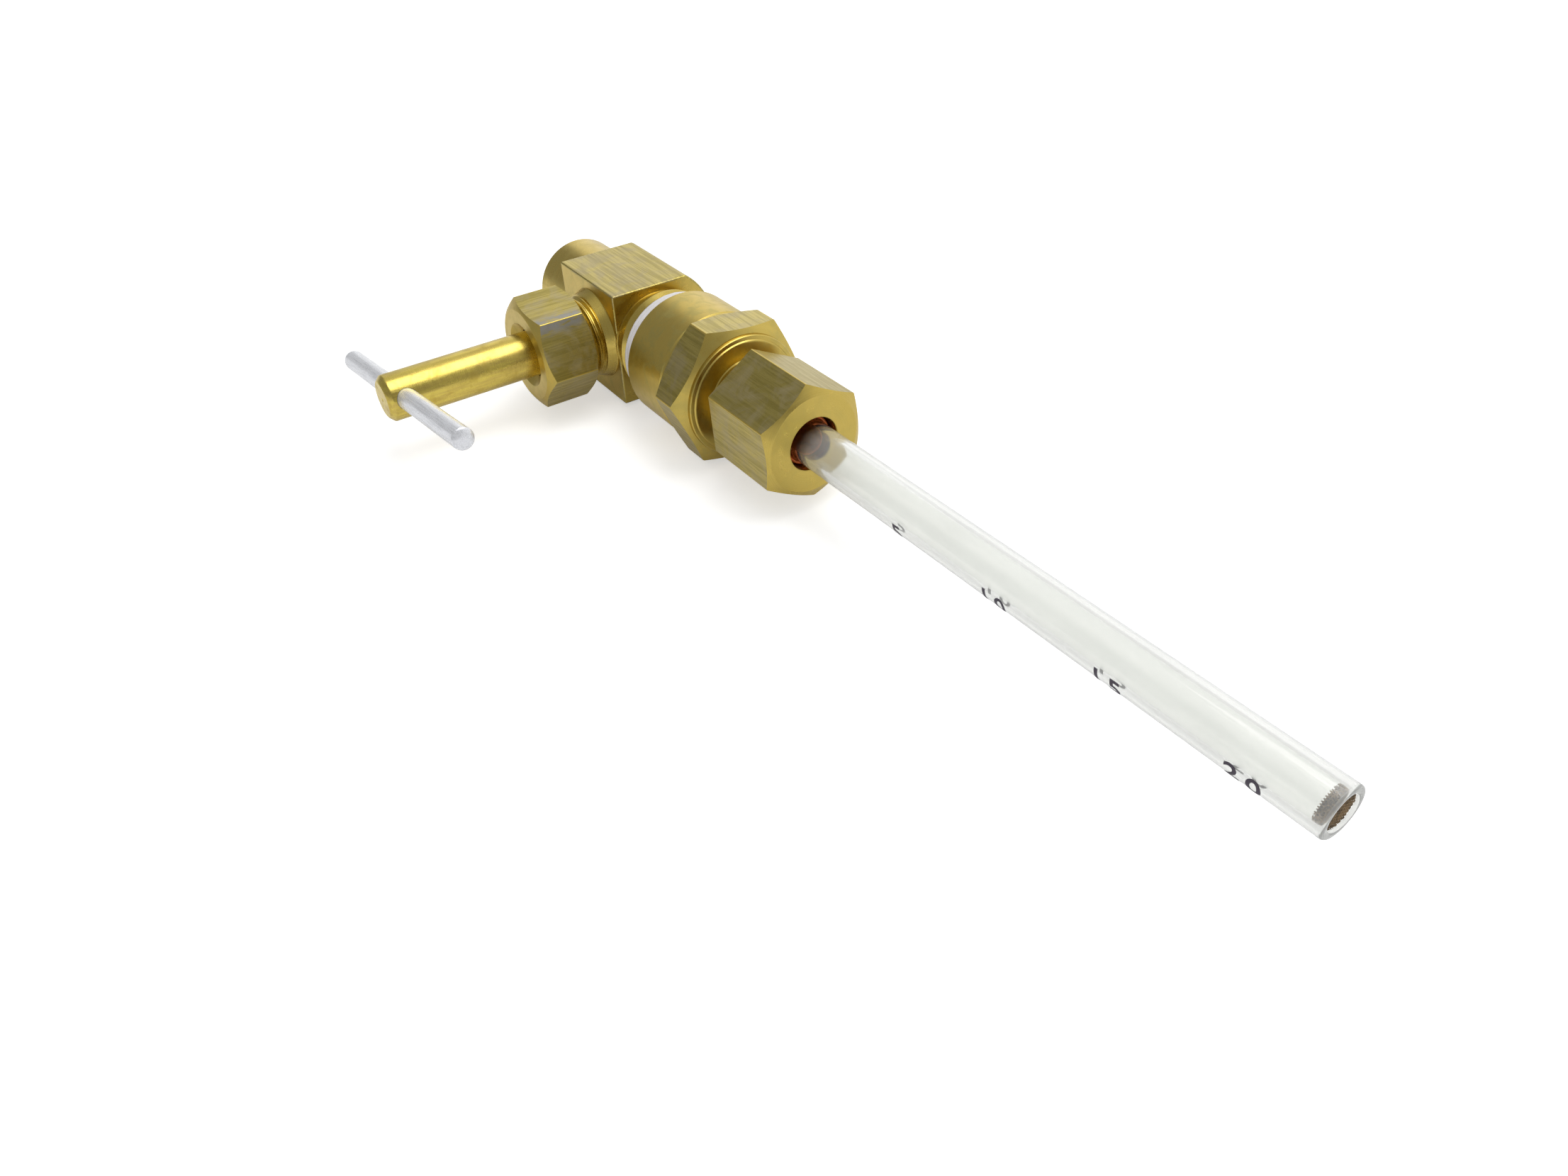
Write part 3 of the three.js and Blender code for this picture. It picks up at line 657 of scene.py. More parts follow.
class Finish(Wiring):
    """A material being wired up, its surface a Principled shader."""

    def __init__(self, name, **plain):
        self.material = bpy.data.materials.new(name)
        self.material.use_nodes = True
        super().__init__(self.material.node_tree)
        self.shader = self.tree.nodes["Principled BSDF"]
        for socket, value in plain.items():
            self.set(socket, value)

    def set(self, socket, value):
        self.plug(self.shader.inputs[socket.replace("_", " ")], value)

    def done(self, base, rough, height, strength, distance=0.05 * MM):
        """Plugs in the colour, the roughness and a bump, and returns the material."""
        self.set("Base Color", base)
        self.set("Roughness", rough)
        self.set("Normal", self.node(
            "Bump", Strength=strength, Distance=distance, Height=height))
        return self.material


def darker(tone, share):
    return tuple(value * share for value in tone)


def drawn_brass(name, axis, scrape=None):
    """Faces of drawn bar: streaks along the bar, tarnish, and rubbed corners."""
    tone = bpy.context.scene.probe.metal
    f = Finish(name, Metallic=1.0)
    x, y, z, _ = f.along(axis)
    lines = f.noise(f.joined(x * 0.035, y, z), 2.6, 4.0, 0.62)
    fine = f.noise(f.joined(x * 0.08, y, z), 12.0, 3.0, 0.7)
    patch = f.noise(f.place(), 0.26, 5.0, 0.62, 0.7)
    speck = f.noise(f.place(), 8.0, 2.0, 0.7)
    dull = f.fade(patch, 0.40, 0.66)
    dark = f.fade(lines, 0.60, 0.40) * 0.7 + f.fade(fine, 0.55, 0.3) * 0.25
    base = f.mix(dark, tone.bar, tone.bar_dark)
    base = f.mix(dull * 0.55, base, tone.bar_grey)
    base = f.mix(f.fade(speck, 0.60, 0.74) * 0.3, base, tone.bar_dark)
    rough = 0.27 + 0.15 * dull + 0.10 * dark
    if scrape:
        reach = scrape(f, x, y, z)
        rubbed = reach * f.fade(f.noise(f.joined(x * 0.3, y, z), 1.6, 5.0), 0.34, 0.52)
        base = f.mix(rubbed * 0.9, base, tone.scrape)
        rough = rough + 0.1 * rubbed
    return f.done(base, rough, lines * 0.5 + fine * 0.25 + speck * 0.25, 0.25)


def turned_brass(name, axis, shade, rough):
    """Faces off the lathe: rings of tool marks with dull blooms between them."""
    tone = bpy.context.scene.probe.metal
    f = Finish(name, Metallic=1.0)
    x, _, _, radius = f.along(axis)
    rings = f.noise(f.joined(x, radius, 0.0), 11.0, 3.0, 0.65)
    coarse = f.noise(f.joined(x, radius, 0.0), 1.1, 2.0, 0.5)
    bloom = f.noise(f.place(), 0.38, 5.0, 0.62, 0.9)
    speck = f.noise(f.place(), 6.0, 3.0, 0.7)
    base = f.mix(f.fade(rings, 0.62, 0.34) * 0.2, tone.turned, tone.turned_dark)
    base = f.mix(f.fade(bloom, 0.42, 0.68) * 0.55 * shade, base, tone.bar)
    base = f.mix(f.fade(speck, 0.56, 0.74) * 0.4, base, tone.turned_dark)
    rough = rough + 0.12 * f.fade(bloom, 0.4, 0.7) + 0.05 * f.fade(coarse, 0.3, 0.7)
    return f.done(base, rough, rings * 0.4 + speck * 0.6, 0.12, 0.04 * MM)


def bright_brass(name, axis):
    """The stem: polished by the packing, with faint lines both ways."""
    tone = bpy.context.scene.probe.metal
    f = Finish(name, Metallic=1.0)
    x, y, z, radius = f.along(axis)
    rings = f.noise(f.joined(x, radius, 0.0), 6.0, 4.0, 0.7)
    wear = f.noise(f.joined(x * 0.10, y, z), 1.9, 4.0, 0.6)
    bloom = f.noise(f.place(), 0.5, 4.0, 0.6, 0.6)
    base = f.mix(f.fade(wear, 0.32, 0.7), tone.turned, tone.bright)
    base = f.mix(f.fade(bloom, 0.52, 0.72) * 0.4, base, tone.turned_dark)
    rough = 0.21 + 0.12 * f.fade(bloom, 0.4, 0.72) + 0.06 * f.fade(rings, 0.3, 0.7)
    return f.done(base, rough, rings * 0.5 + wear * 0.5, 0.2)


def pin_steel(name):
    """Ground steel: lines along the pin and a few nicks."""
    tone = bpy.context.scene.probe.metal
    f = Finish(name, Metallic=0.45)
    x, y, z = f.split(f.place((0, bpy.context.scene.probe.handle.pin_tilt, 0)))
    lines = f.noise(f.joined(x * 0.05, y, z), 5.0, 4.0, 0.65)
    nick = f.noise(f.place(), 2.2, 5.0, 0.65)
    base = f.mix(f.fade(lines, 0.3, 0.62), darker(tone.steel, 0.78), tone.steel)
    rough = 0.24 + 0.2 * f.fade(nick, 0.5, 0.68)
    return f.done(base, rough, lines * 0.5 + nick * 0.4, 0.2)


def soft_finish(name, tone, rough, grain, axis="main", depth=0.25, spread=0.2):
    """Tape, rubber, fibre and packing: a mottled surface with grain round the axis."""
    f = Finish(name, Metallic=0.0)
    x, _, _, radius = f.along(axis)
    mottle = f.noise(f.place(), 0.7, 4.0, 0.6)
    rings = f.noise(f.joined(x, radius, 0.0), grain, 3.0, 0.6)
    pale = f.fade(mottle * 0.6 + rings * 0.4, 0.35, 0.65)
    base = f.mix(pale, darker(tone, 1 - spread), tone)
    return f.done(base, rough + 0.12 * f.fade(mottle, 0.4, 0.7), rings * 0.6 + mottle * 0.4, depth)


def tube_glass(name, clearness, rough, held=False):
    """Drawn glass, clouded by use. What the gland holds is clear, and greyed there as painted
    shade inside the nut's mouth.
    """
    tone = bpy.context.scene.probe.soft
    index = 1.47
    f = Finish(name, Metallic=0.0, IOR=index, Transmission_Weight=clearness)
    x, y, z, _ = f.along("main")
    bands = f.noise(f.joined(x * 0.004, y, z), 0.7, 3.0, 0.55)
    haze = f.noise(f.joined(x * 0.3, y, z), 0.35, 4.0, 0.6)
    cloud = f.fade(bands * 0.6 + haze * 0.4, 0.36, 0.66)
    base = f.mix(cloud, tone.glass, darker(tone.glass, 0.93))
    material = f.done(base, rough + 0.08 * cloud, bands, 0.02)
    if held:
        mouth = NUT_FACE / MM
        # Clear glass in and just out of the nut's mouth; its grey base colour is painted shade.
        shaded_clear_glass = f.node("BsdfPrincipled", Base_Color=tone.held_glass, Roughness=0.02,
                       IOR=index, Transmission_Weight=1.0)
        # used is 0 where the painted shade lies and 1 on the clouded glass.
        used = f.fade(x + 3.0 * (haze - 0.5), mouth - 0.3, mouth + 3.5)
        mixed = f.node("MixShader", i0=used, i1=shaded_clear_glass, i2=Wire(f, f.shader.outputs[0]))
        f.plug(f.tree.nodes["Material Output"].inputs["Surface"], mixed)
    return material


def printed_ink(name):
    """Ink burnt onto the glass, worn thin in places."""
    tone = bpy.context.scene.probe.soft
    f = Finish(name, Metallic=0.0)
    worn = f.noise(f.place(), 4.5, 4.0, 0.65)
    pale = tuple(min(1, value + 0.09) for value in tone.ink)
    base = f.mix(f.fade(worn, 0.52, 0.72), tone.ink, pale)
    return f.done(base, 0.4 + 0.2 * f.fade(worn, 0.4, 0.6), worn, 0.2, 0.02 * MM)


def gauze_wire(name):
    """Bronze wire, browned by flame."""
    tone = bpy.context.scene.probe.metal
    f = Finish(name, Metallic=0.85)
    burn = f.noise(f.place(), 1.1, 4.0, 0.6, 0.5)
    speck = f.noise(f.place(), 9.0, 2.0, 0.6)
    pale = tuple(min(1, value * 1.5) for value in tone.wire)
    base = f.mix(f.fade(burn, 0.4, 0.62), darker(tone.wire, 0.38), tone.wire)
    base = f.mix(f.fade(speck, 0.55, 0.75) * 0.6, base, pale)
    return f.done(base, 0.36 + 0.2 * f.fade(burn, 0.4, 0.7), speck, 0.2, 0.02 * MM)


# ---------------------------------------------------------------- pieces

class PROBE_OT_valve(bpy.types.Operator):
    """Models the valve's block with its inlet hub, outlet thread and bonnet"""
    bl_idname = "probe.valve"
    bl_label = "Valve body"

    def execute(self, context):
        probe = context.scene.probe
        size = probe.valve
        body = combine("UNION", self.block(size), self.inlet_hub(size), self.outlet(size))
        combine("UNION", body, shift(self.bonnet(size), STEM_TO_MAIN))
        combine("DIFFERENCE", body, *self.hollows(size))
        shift(tidy(body), ON_MAIN)
        clad(
            body, drawn_brass("block_bar", "main"),
            turned_brass("valve_turned", "main", 1.0, 0.24),
            turned_brass("bonnet_turned", "stem", 0.7, 0.2),
            turned_brass("milled_flat", "stem", 1.8, 0.3), chooser=self.face_finish)
        fit(body, 24, "valve", "brass_bar", "valve_body")
        return {"FINISHED"}

    def block(self, size):
        """The round bar, bisected at its flats."""
        clear()
        bpy.ops.mesh.primitive_cylinder_add(
            vertices=BAR_SIDES, radius=size.bar_radius, depth=size.block_front + size.block_rear,
            location=(size.bar_drop, -size.bar_shift, (size.block_front - size.block_rear) / 2))
        obj = shift(named("needle_valve_body"))
        edit(obj)
        for point, normal in (
            ((size.bar_drop + size.flat_height, 0, 0), (1, 0, 0)),
            ((size.bar_drop - size.flat_height, 0, 0), (-1, 0, 0)),
            ((0, -size.stem_flat, 0), (0, -1, 0)),
        ):
            bisect(point, normal, use_fill=True, clear_outer=True)
        weld()
        return ease(obj, size.block_edge, 3, 20)

    def inlet_hub(self, size):
        soft = size.hub_chamfer / 4
        inner, front = size.hub_radius - size.hub_chamfer, INLET_FACE + size.hub_chamfer
        return solid("inlet_hub", [
            (inner - soft, INLET_FACE), (inner + soft, INLET_FACE + soft),
            (size.hub_radius - soft, front - soft), (size.hub_radius, front + soft),
            (size.hub_radius, OVERRUN - size.block_rear)])

    def outlet(self, size):
        """The plain relief, then the tapered pipe thread, chamfered at both ends."""
        radius, start, front = size.thread_radius, size.neck_front, size.block_front
        thread = threaded("outlet_thread", radius, size.thread_depth, size.thread_pitch, start,
                          OUTLET_END, PIPE_TAPER)
        lead = size.thread_depth + 0.2 * MM
        combine("INTERSECT", thread, solid("outlet_trim", [
            (radius - lead, start), (radius + OVERRUN, start + (lead + OVERRUN) * 0.6),
            (radius + OVERRUN, OUTLET_END - (lead + OVERRUN) * 0.8),
            (radius - lead - 0.4 * MM, OUTLET_END)]))
        neck = solid("outlet_neck", [
            *near(size.neck_radius, front - OVERRUN, (0.35, 0)),
            *near(size.neck_radius, front, (0.35, 0), (0.1, 0.1), (0, 0.35)),
            (size.neck_radius, start + OVERRUN)])
        return combine("UNION", neck, thread)

    def bonnet(self, size):
        """The tapered hub and the thread that the gland nut runs on."""
        radius, depth, top = size.bonnet_radius, size.bonnet_depth, size.bonnet_top
        start = size.bonnet_hub_top - 0.2 * MM
        thread = threaded("bonnet_thread", radius, depth, size.bonnet_pitch, start, top)
        lead = depth + 0.15 * MM
        combine("INTERSECT", thread, solid("bonnet_trim", [
            (radius + OVERRUN, start), (radius + OVERRUN, top - lead - OVERRUN),
            (radius - lead, top)]))
        hub = solid("bonnet_hub", [
            (size.bonnet_hub, size.stem_flat - OVERRUN),
            *near(size.bonnet_hub, size.stem_flat, (0, 0.12), (-0.12, 0.3)),
            *near(radius, size.bonnet_hub_top, (0.15, -0.3)),
            (radius - depth, size.bonnet_hub_top),
            (radius - depth - 0.1 * MM, size.bonnet_hub_top + OVERRUN)])
        return combine("UNION", hub, thread)

    def hollows(self, size):
        """The threaded inlet port, both bores, the passages and the seat."""
        floor = INLET_FACE + size.port_depth
        port = threaded("inlet_port", size.port_radius, 0.45 * MM, size.port_pitch,
                        INLET_FACE - OVERRUN, floor)
        mouth = solid("inlet_mouth", [
            (size.port_radius + 0.35 * MM + OVERRUN, INLET_FACE - OVERRUN),
            *near(size.port_radius, INLET_FACE, (-0.5, 0.85))])
        outlet = rod("outlet_bore", size.block_front - OVERRUN, OUTLET_END + OVERRUN,
                     size.outlet_bore)
        ways = [
            shift(rod("way", start, end, size.passage_radius, FEW_SIDES),
                  Matrix.Translation((0, side, 0)))
            for start, end, side in (
                (floor - OVERRUN, 0, size.passage_offset),
                (0, size.block_front + OVERRUN, -size.passage_offset))
        ]
        cuts = [
            rod(name, start, end + OVERRUN, radius, steps) for name, start, end, radius, steps in (
                ("seat_bore", -size.passage_offset, size.seat_level, size.seat_radius, FEW_SIDES),
                ("stem_bore", size.seat_level, size.packing_floor, size.stem_bore, 48),
                ("packing_bore", size.packing_floor, size.bonnet_top, size.packing_bore, SIDES))
        ]
        return [port, mouth, outlet, *ways, *(shift(cut, STEM_TO_MAIN) for cut in cuts)]

    def face_finish(self, centre, normal):
        """Bar on the block, turned marks on the hub and outlet, and on the bonnet."""
        size = bpy.context.scene.probe.valve
        spot = centre - CROSSING
        slack = 0.02 * MM
        if -spot.y > size.stem_flat + slack:
            return 2
        if -spot.y > size.stem_flat - slack:
            return 3
        return int(spot.x < slack - size.block_rear or spot.x > size.block_front - slack)


class PROBE_OT_handle(bpy.types.Operator):
    """Models the stem and the cross pin of the T handle"""
    bl_idname = "probe.handle"
    bl_label = "Stem and T handle"

    def execute(self, context):
        probe = context.scene.probe
        size = probe.handle
        self.stem(size)
        self.pin(size)
        return {"FINISHED"}

    def pin_place(self, size):
        """The pin's own axis, which runs through its middle and along +X."""
        centre = (PIN_LOW + PIN_HIGH) / 2
        return Matrix.Translation(centre) @ Matrix.Rotation(QUARTER - size.pin_tilt, 4, "Y")

    def stem(self, size):
        soft = 0.12 * MM
        radius, chamfer = size.stem_radius, size.stem_chamfer
        under = radius - 0.05 * MM
        stem = turned("bright_stem", [
            (0, size.pocket_end), (size.pocket_radius, size.pocket_end),
            (size.pocket_radius, size.pocket_start), (size.pocket_mouth, size.pocket_start),
            (size.pocket_mouth, STEM_START), (under, STEM_START), (under, size.thread_end - soft),
            (radius, size.thread_end + soft), (radius, STEM_END - chamfer - soft),
            (radius - soft / 2, STEM_END - chamfer + soft / 2),
            (radius - chamfer + soft, STEM_END - soft), (radius - chamfer - soft, STEM_END),
            *near(0, STEM_END, (0.35, 0), (0.12, -0.14), (0, -0.16))])
        thread = threaded(
            "stem_thread", size.thread_radius, size.thread_radius - radius + 0.05 * MM,
            size.thread_pitch, STEM_START + 0.1 * MM, size.thread_end)
        core = rod("thread_core", STEM_START - OVERRUN, size.thread_end + OVERRUN,
                   radius - 0.4 * MM, SOME_SIDES)
        combine("UNION", stem, combine("DIFFERENCE", thread, core))
        shift(stem, ON_STEM)
        hole = rod("pin_hole", -2 * radius, 2 * radius, size.pin_hole, SOME_SIDES)
        spot = self.pin_place(size)
        spot.translation.x = CROSSING.x
        spot.translation.z = CROSSING.z
        combine("DIFFERENCE", stem, shift(hole, spot))
        ease(stem, 0.07 * MM, 2, 50)
        clad(stem, bright_brass("stem_bright", "stem"))
        fit(stem, 25, "stem", "brass_turned", "valve_stem")

    def pin(self, size):
        """The cross pin, as long as its tilted CAD box allows."""
        radius, dome, tilt = size.pin_radius, size.pin_dome, size.pin_tilt
        reach = (PIN_HIGH.x - PIN_LOW.x) / 2
        end = (reach - radius * math.sin(tilt) * 0.55) / math.cos(tilt)
        arc = [
            (radius * math.cos(turn) ** 0.8, end - dome + dome * math.sin(turn))
            for turn in [math.radians(a) for a in range(0, 90, 10)]
        ]
        line = [(0, end), *reversed(arc)]
        line += [(r, -h) for r, h in reversed(line)]
        pin = turned("t_handle_rod", line, SOME_SIDES)
        shift(pin, self.pin_place(size))
        clad(pin, pin_steel("ground_steel"))
        fit(pin, 40, "stem", "steel", "t_handle_pin")


class PROBE_OT_gland_nut(bpy.types.Operator):
    """Models the nut that presses the stem packing"""
    bl_idname = "probe.gland_nut"
    bl_label = "Gland nut"

    def execute(self, context):
        probe = context.scene.probe
        size, face = probe.gland_nut, GLAND_NUT_FACE
        obj = nut(
            "gland_nut", size, GLAND_NUT_REAR, face, size.corner, 0.14 * MM, True, 0.35 * MM,
            probe.valve.bonnet_pitch,
            [(size.bore, face - size.sink), (size.bore + size.sink + OVERRUN, face + OVERRUN)])
        shift(obj, ON_STEM)
        clad(obj, drawn_brass("gland_nut_flats", "stem", self.scraped),
             turned_brass("gland_nut_turned", "stem", 1.4, 0.3),
             chooser=flats_first(size.across, 1))
        fit(obj, 18, "packing_nut", "brass_bar", "packing_nut")
        return {"FINISHED"}

    @staticmethod
    def scraped(f, x, y, z):
        """A patch along one corner that a spanner has scraped."""
        across = f.fade(y * 0.64 - z * 0.77, -3.4, -2.0) * f.fade(y * 0.64 - z * 0.77, 1.0, -1.0)
        return across * f.fade(y, 1.0, 2.0) * f.fade(x, 11.5, 13.0)


class PROBE_OT_packing(bpy.types.Operator):
    """Finishes the pieces inside the bonnet: needle, washer, packing rings and follower"""
    bl_idname = "probe.packing"
    bl_label = "Needle and packing"

    def execute(self, context):
        probe = context.scene.probe
        soft = probe.soft
        white = soft_finish("packing_white", soft.packing, 0.5, 3.0, "stem")
        brass = turned_brass("packing_brass", "stem", 0.8, 0.28)
        clad(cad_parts["needle_tip"], pin_steel("needle_steel"))
        for node in ("packing_washer", "gland_follower"):
            clad(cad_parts[node], brass)
        for count in range(1, 5):
            clad(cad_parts[f"packing_ring_{count}"], white)
        return {"FINISHED"}


class PROBE_OT_tape(bpy.types.Operator):
    """Models the white tape wound on the outlet thread"""
    bl_idname = "probe.tape"
    bl_label = "Thread tape"

    def execute(self, context):
        probe = context.scene.probe
        inner = half("thread_seal_tape", 1) - 0.5 * MM
        line = [
            (inner, TAPE_START),
            *near(inner, TAPE_START,
                  (0.30, 0.00), (0.44, 0.10), (0.47, 0.55), (0.40, 0.72), (0.49, 0.86),
                  (0.50, 1.35), (0.44, 1.50), (0.50, 1.66), (0.49, 2.20), (0.43, 2.36),
                  (0.46, 2.52), (0.28, 2.60)),
            *near(inner, BARREL_REAR, (0.26, 0.4)), *near(inner, TAPE_END, (0.1, 0), (-0.18, 0)),
        ]
        tape = turned("thread_tape", line, FINE_SIDES)
        ruffle = bpy.data.textures.new("tape_ruffle", "CLOUDS")
        ruffle.noise_scale = 1.1 * MM
        modify(tape, "DISPLACE", texture=ruffle, strength=0.09 * MM, mid_level=0.75,
               texture_coords="LOCAL")
        shift(tape, ON_MAIN)
        clad(tape, soft_finish("tape_white", probe.soft.tape, 0.45, 5.0,
                               depth=0.3, spread=0.1))
        fit(tape, 60, "valve", "ptfe", "thread_seal_tape")
        return {"FINISHED"}


class PROBE_OT_connector(bpy.types.Operator):
    """Models the connector: barrel, hexagon, collar and gland thread"""
    bl_idname = "probe.connector"
    bl_label = "Connector"

    def execute(self, context):
        probe = context.scene.probe
        size = probe.connector
        body = combine(
            "UNION", self.barrel(size),
            hex_bar("connector_hexagon", size.hex_rear, size.hex_front, 2 * size.radius,
                    size.corner + QUARTER, 0.22 * MM),
            self.gland(size))
        combine("DIFFERENCE", body, self.hollow(size))
        shift(tidy(body), ON_MAIN)
        clad(body, drawn_brass("connector_flats", "main"),
             turned_brass("connector_turned", "main", 1.3, 0.27),
             turned_brass("connector_barrel", "main", 2.0, 0.3), chooser=self.face_finish)
        fit(body, 18, "valve", "brass_bar", "connector_body")
        return {"FINISHED"}

    def barrel(self, size):
        radius, edge, soft = size.radius, size.rim_edge, 0.08 * MM
        return solid("pipe_connector", [
            (radius - edge - soft, BARREL_REAR), (radius - edge + soft, BARREL_REAR + soft),
            (radius - soft, BARREL_REAR + edge), (radius, BARREL_REAR + edge + 2 * soft),
            *near(radius, size.hex_rear, (0, -0.5), (-0.12, -0.2)),
            *near(radius, size.hex_rear + OVERRUN, (-0.12, 0))])

    def gland(self, size):
        """The collar, a plain relief and the thread for the compression nut."""
        radius, depth = size.thread_radius, size.thread_depth
        front, relief = size.collar_front, size.collar_front + size.relief
        collar = solid("connector_collar", [
            (size.collar_radius, size.hex_front - OVERRUN),
            *near(size.collar_radius, front, (0, -0.45), (-0.1, -0.3), (-0.62, -0.25),
                  (-0.75, -0.05), (-0.95, 0)),
            *near(radius - depth, front, (0.15, 0), (0, 0.15)),
            (radius - depth, relief)])
        start = relief - 0.4 * MM
        thread = threaded("gland_thread", radius, depth, size.thread_pitch, start, GLAND_END)
        lead = depth + 0.15 * MM
        combine("INTERSECT", thread, solid("gland_trim", [
            (radius - lead, start), (radius + OVERRUN, start + lead + OVERRUN),
            (radius + OVERRUN, GLAND_END - lead - OVERRUN), (radius - lead, GLAND_END)]))
        return combine("UNION", collar, thread)

    def hollow(self, size):
        """The outlet's tapered bore, the web, the tube's socket and the seal's bore."""
        end = BARREL_REAR + size.pipe_depth
        inner = size.pipe_bore - 0.1 * MM
        return solid("connector_hollow", [
            (size.pipe_bore + OVERRUN, BARREL_REAR - OVERRUN), (inner, BARREL_REAR + 0.3 * MM),
            (inner - size.pipe_depth * PIPE_TAPER, end), (size.web_bore, end),
            (size.web_bore, end + size.web), (size.socket_radius, end + size.web),
            (size.socket_radius, size.seal_floor), (size.seal_bore, size.seal_floor),
            (size.seal_bore, GLAND_END + OVERRUN)])

    def face_finish(self, centre, normal):
        """Bar on the flats, bloomed turning on the barrel, bright turning elsewhere."""
        size = bpy.context.scene.probe.connector
        spot = centre - CROSSING
        out = normal.y * spot.y + normal.z * spot.z
        if size.hex_rear < spot.x < size.hex_front and abs(out - size.radius) < 0.05 * MM:
            return 0
        return 2 if spot.x < size.hex_rear else 1


class PROBE_OT_seal(bpy.types.Operator):
    """Models the tube seal and finishes the rings and washer round it"""
    bl_idname = "probe.seal"
    bl_label = "Tube seal"

    def execute(self, context):
        probe = context.scene.probe
        soft = probe.soft
        inner = TUBE_RADIUS + 0.12 * MM
        nose = inner + 0.43 * MM
        step = SLEEVE_REAR + 5.2 * MM
        sleeve = turned("silicone_sleeve", [
            *near(inner, SLEEVE_REAR, (0, 0.15), (0.1, 0)),
            *near(SEAL_RADIUS, SLEEVE_REAR, (-0.3, 0), (0, 0.3)),
            *near(SEAL_RADIUS, step, (0, -0.25), (-0.2, 0)),
            *near(nose, step, (0.12, 0), (0, 0.15)),
            *near(nose, SLEEVE_FRONT, (0, -0.22), (-0.12, -0.04), (-0.22, 0)),
            *near(inner, SLEEVE_FRONT, (0.12, -0.02), (0, -0.2))])
        shift(sleeve, ON_MAIN)
        clad(sleeve, soft_finish("seal_red", soft.rubber, 0.4, 2.2, depth=0.3, spread=0.35))
        fit(sleeve, 50, "valve", "red_rubber", "sealing_sleeve")
        brass = turned_brass("ring_brass", "main", 0.8, 0.28)
        for node in ("back_ring", "slip_ring"):
            clad(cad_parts[node], brass)
        clad(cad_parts["cushion_washer"],
             soft_finish("washer_fibre", soft.fibre, 0.75, 4.0, spread=0.3))
        return {"FINISHED"}


class PROBE_OT_glass_nut(bpy.types.Operator):
    """Models the compression nut that grips the glass tube"""
    bl_idname = "probe.glass_nut"
    bl_label = "Compression nut"

    def execute(self, context):
        probe = context.scene.probe
        size = probe.glass_nut
        bore, edge = size.bore, size.bore_edge
        obj = nut(
            "compression_hexagon", size, NUT_REAR, NUT_FACE, size.corner + QUARTER, 0.16 * MM,
            False, 0.3 * MM, probe.connector.thread_pitch,
            [(bore, NUT_FACE - edge), (bore + edge * 0.35, NUT_FACE - edge * 0.35),
             (bore + edge + OVERRUN, NUT_FACE + OVERRUN)])
        shift(tidy(obj), ON_MAIN)
        clad(obj, drawn_brass("compression_flats", "main"),
             turned_brass("compression_turned", "main", 0.5, 0.26),
             chooser=flats_first(size.across, 0))
        fit(obj, 18, "compression_nut", "brass_bar", "compression_nut")
        return {"FINISHED"}


class PROBE_OT_glass(bpy.types.Operator):
    """Models the glass tube with its fire-polished tip"""
    bl_idname = "probe.glass"
    bl_label = "Glass tube"

    def execute(self, context):
        probe = context.scene.probe
        size = probe.glass
        outer, bore, lip = TUBE_RADIUS, TUBE_RADIUS - size.wall, size.lip
        swing = [math.radians(a) for a in range(0, 91, 15)]
        round_out = [
            (outer - lip + lip * math.cos(t), TUBE_TIP - lip + lip * math.sin(t)) for t in swing
        ]
        round_in = [
            (bore + lip - lip * math.cos(t), TUBE_TIP - lip + lip * math.sin(t))
            for t in reversed(swing)
        ]
        edge = 0.1 * MM
        tip_ring, rear_ring = TUBE_TIP - lip - 0.4 * MM, TUBE_REAR + 4 * edge
        tube = turned("glass_sampling_tube", [
            (bore + edge, TUBE_REAR), (outer - edge, TUBE_REAR), (outer, TUBE_REAR + edge),
            (outer, rear_ring), (outer, tip_ring), *round_out, ((outer + bore) / 2, TUBE_TIP),
            *round_in, (bore, tip_ring), (bore, rear_ring), (bore, TUBE_REAR + edge),
        ], FINE_SIDES)
        shift(tube, ON_MAIN)
        # held=True greys the tube inside the nut's mouth as painted shade.
        clad(tube, tube_glass("drawn_glass", 0.74, 0.06, held=True),
             tube_glass("bore_glass", 1.0, 0.0), tube_glass("polished_lip", 0.66, 0.1),
             chooser=self.face_finish)
        fit(tube, 35, "tube", "glass", "glass_tube")
        return {"FINISHED"}

    def face_finish(self, centre, normal):
        """Clear in the bore, clouded outside, and milky at the ends."""
        size = bpy.context.scene.probe.glass
        spot = centre - CROSSING
        if spot.x > TUBE_TIP - size.lip or spot.x < TUBE_REAR + 0.1 * MM:
            return 2
        return int(math.hypot(spot.y, spot.z) <= TUBE_RADIUS - size.wall / 2)


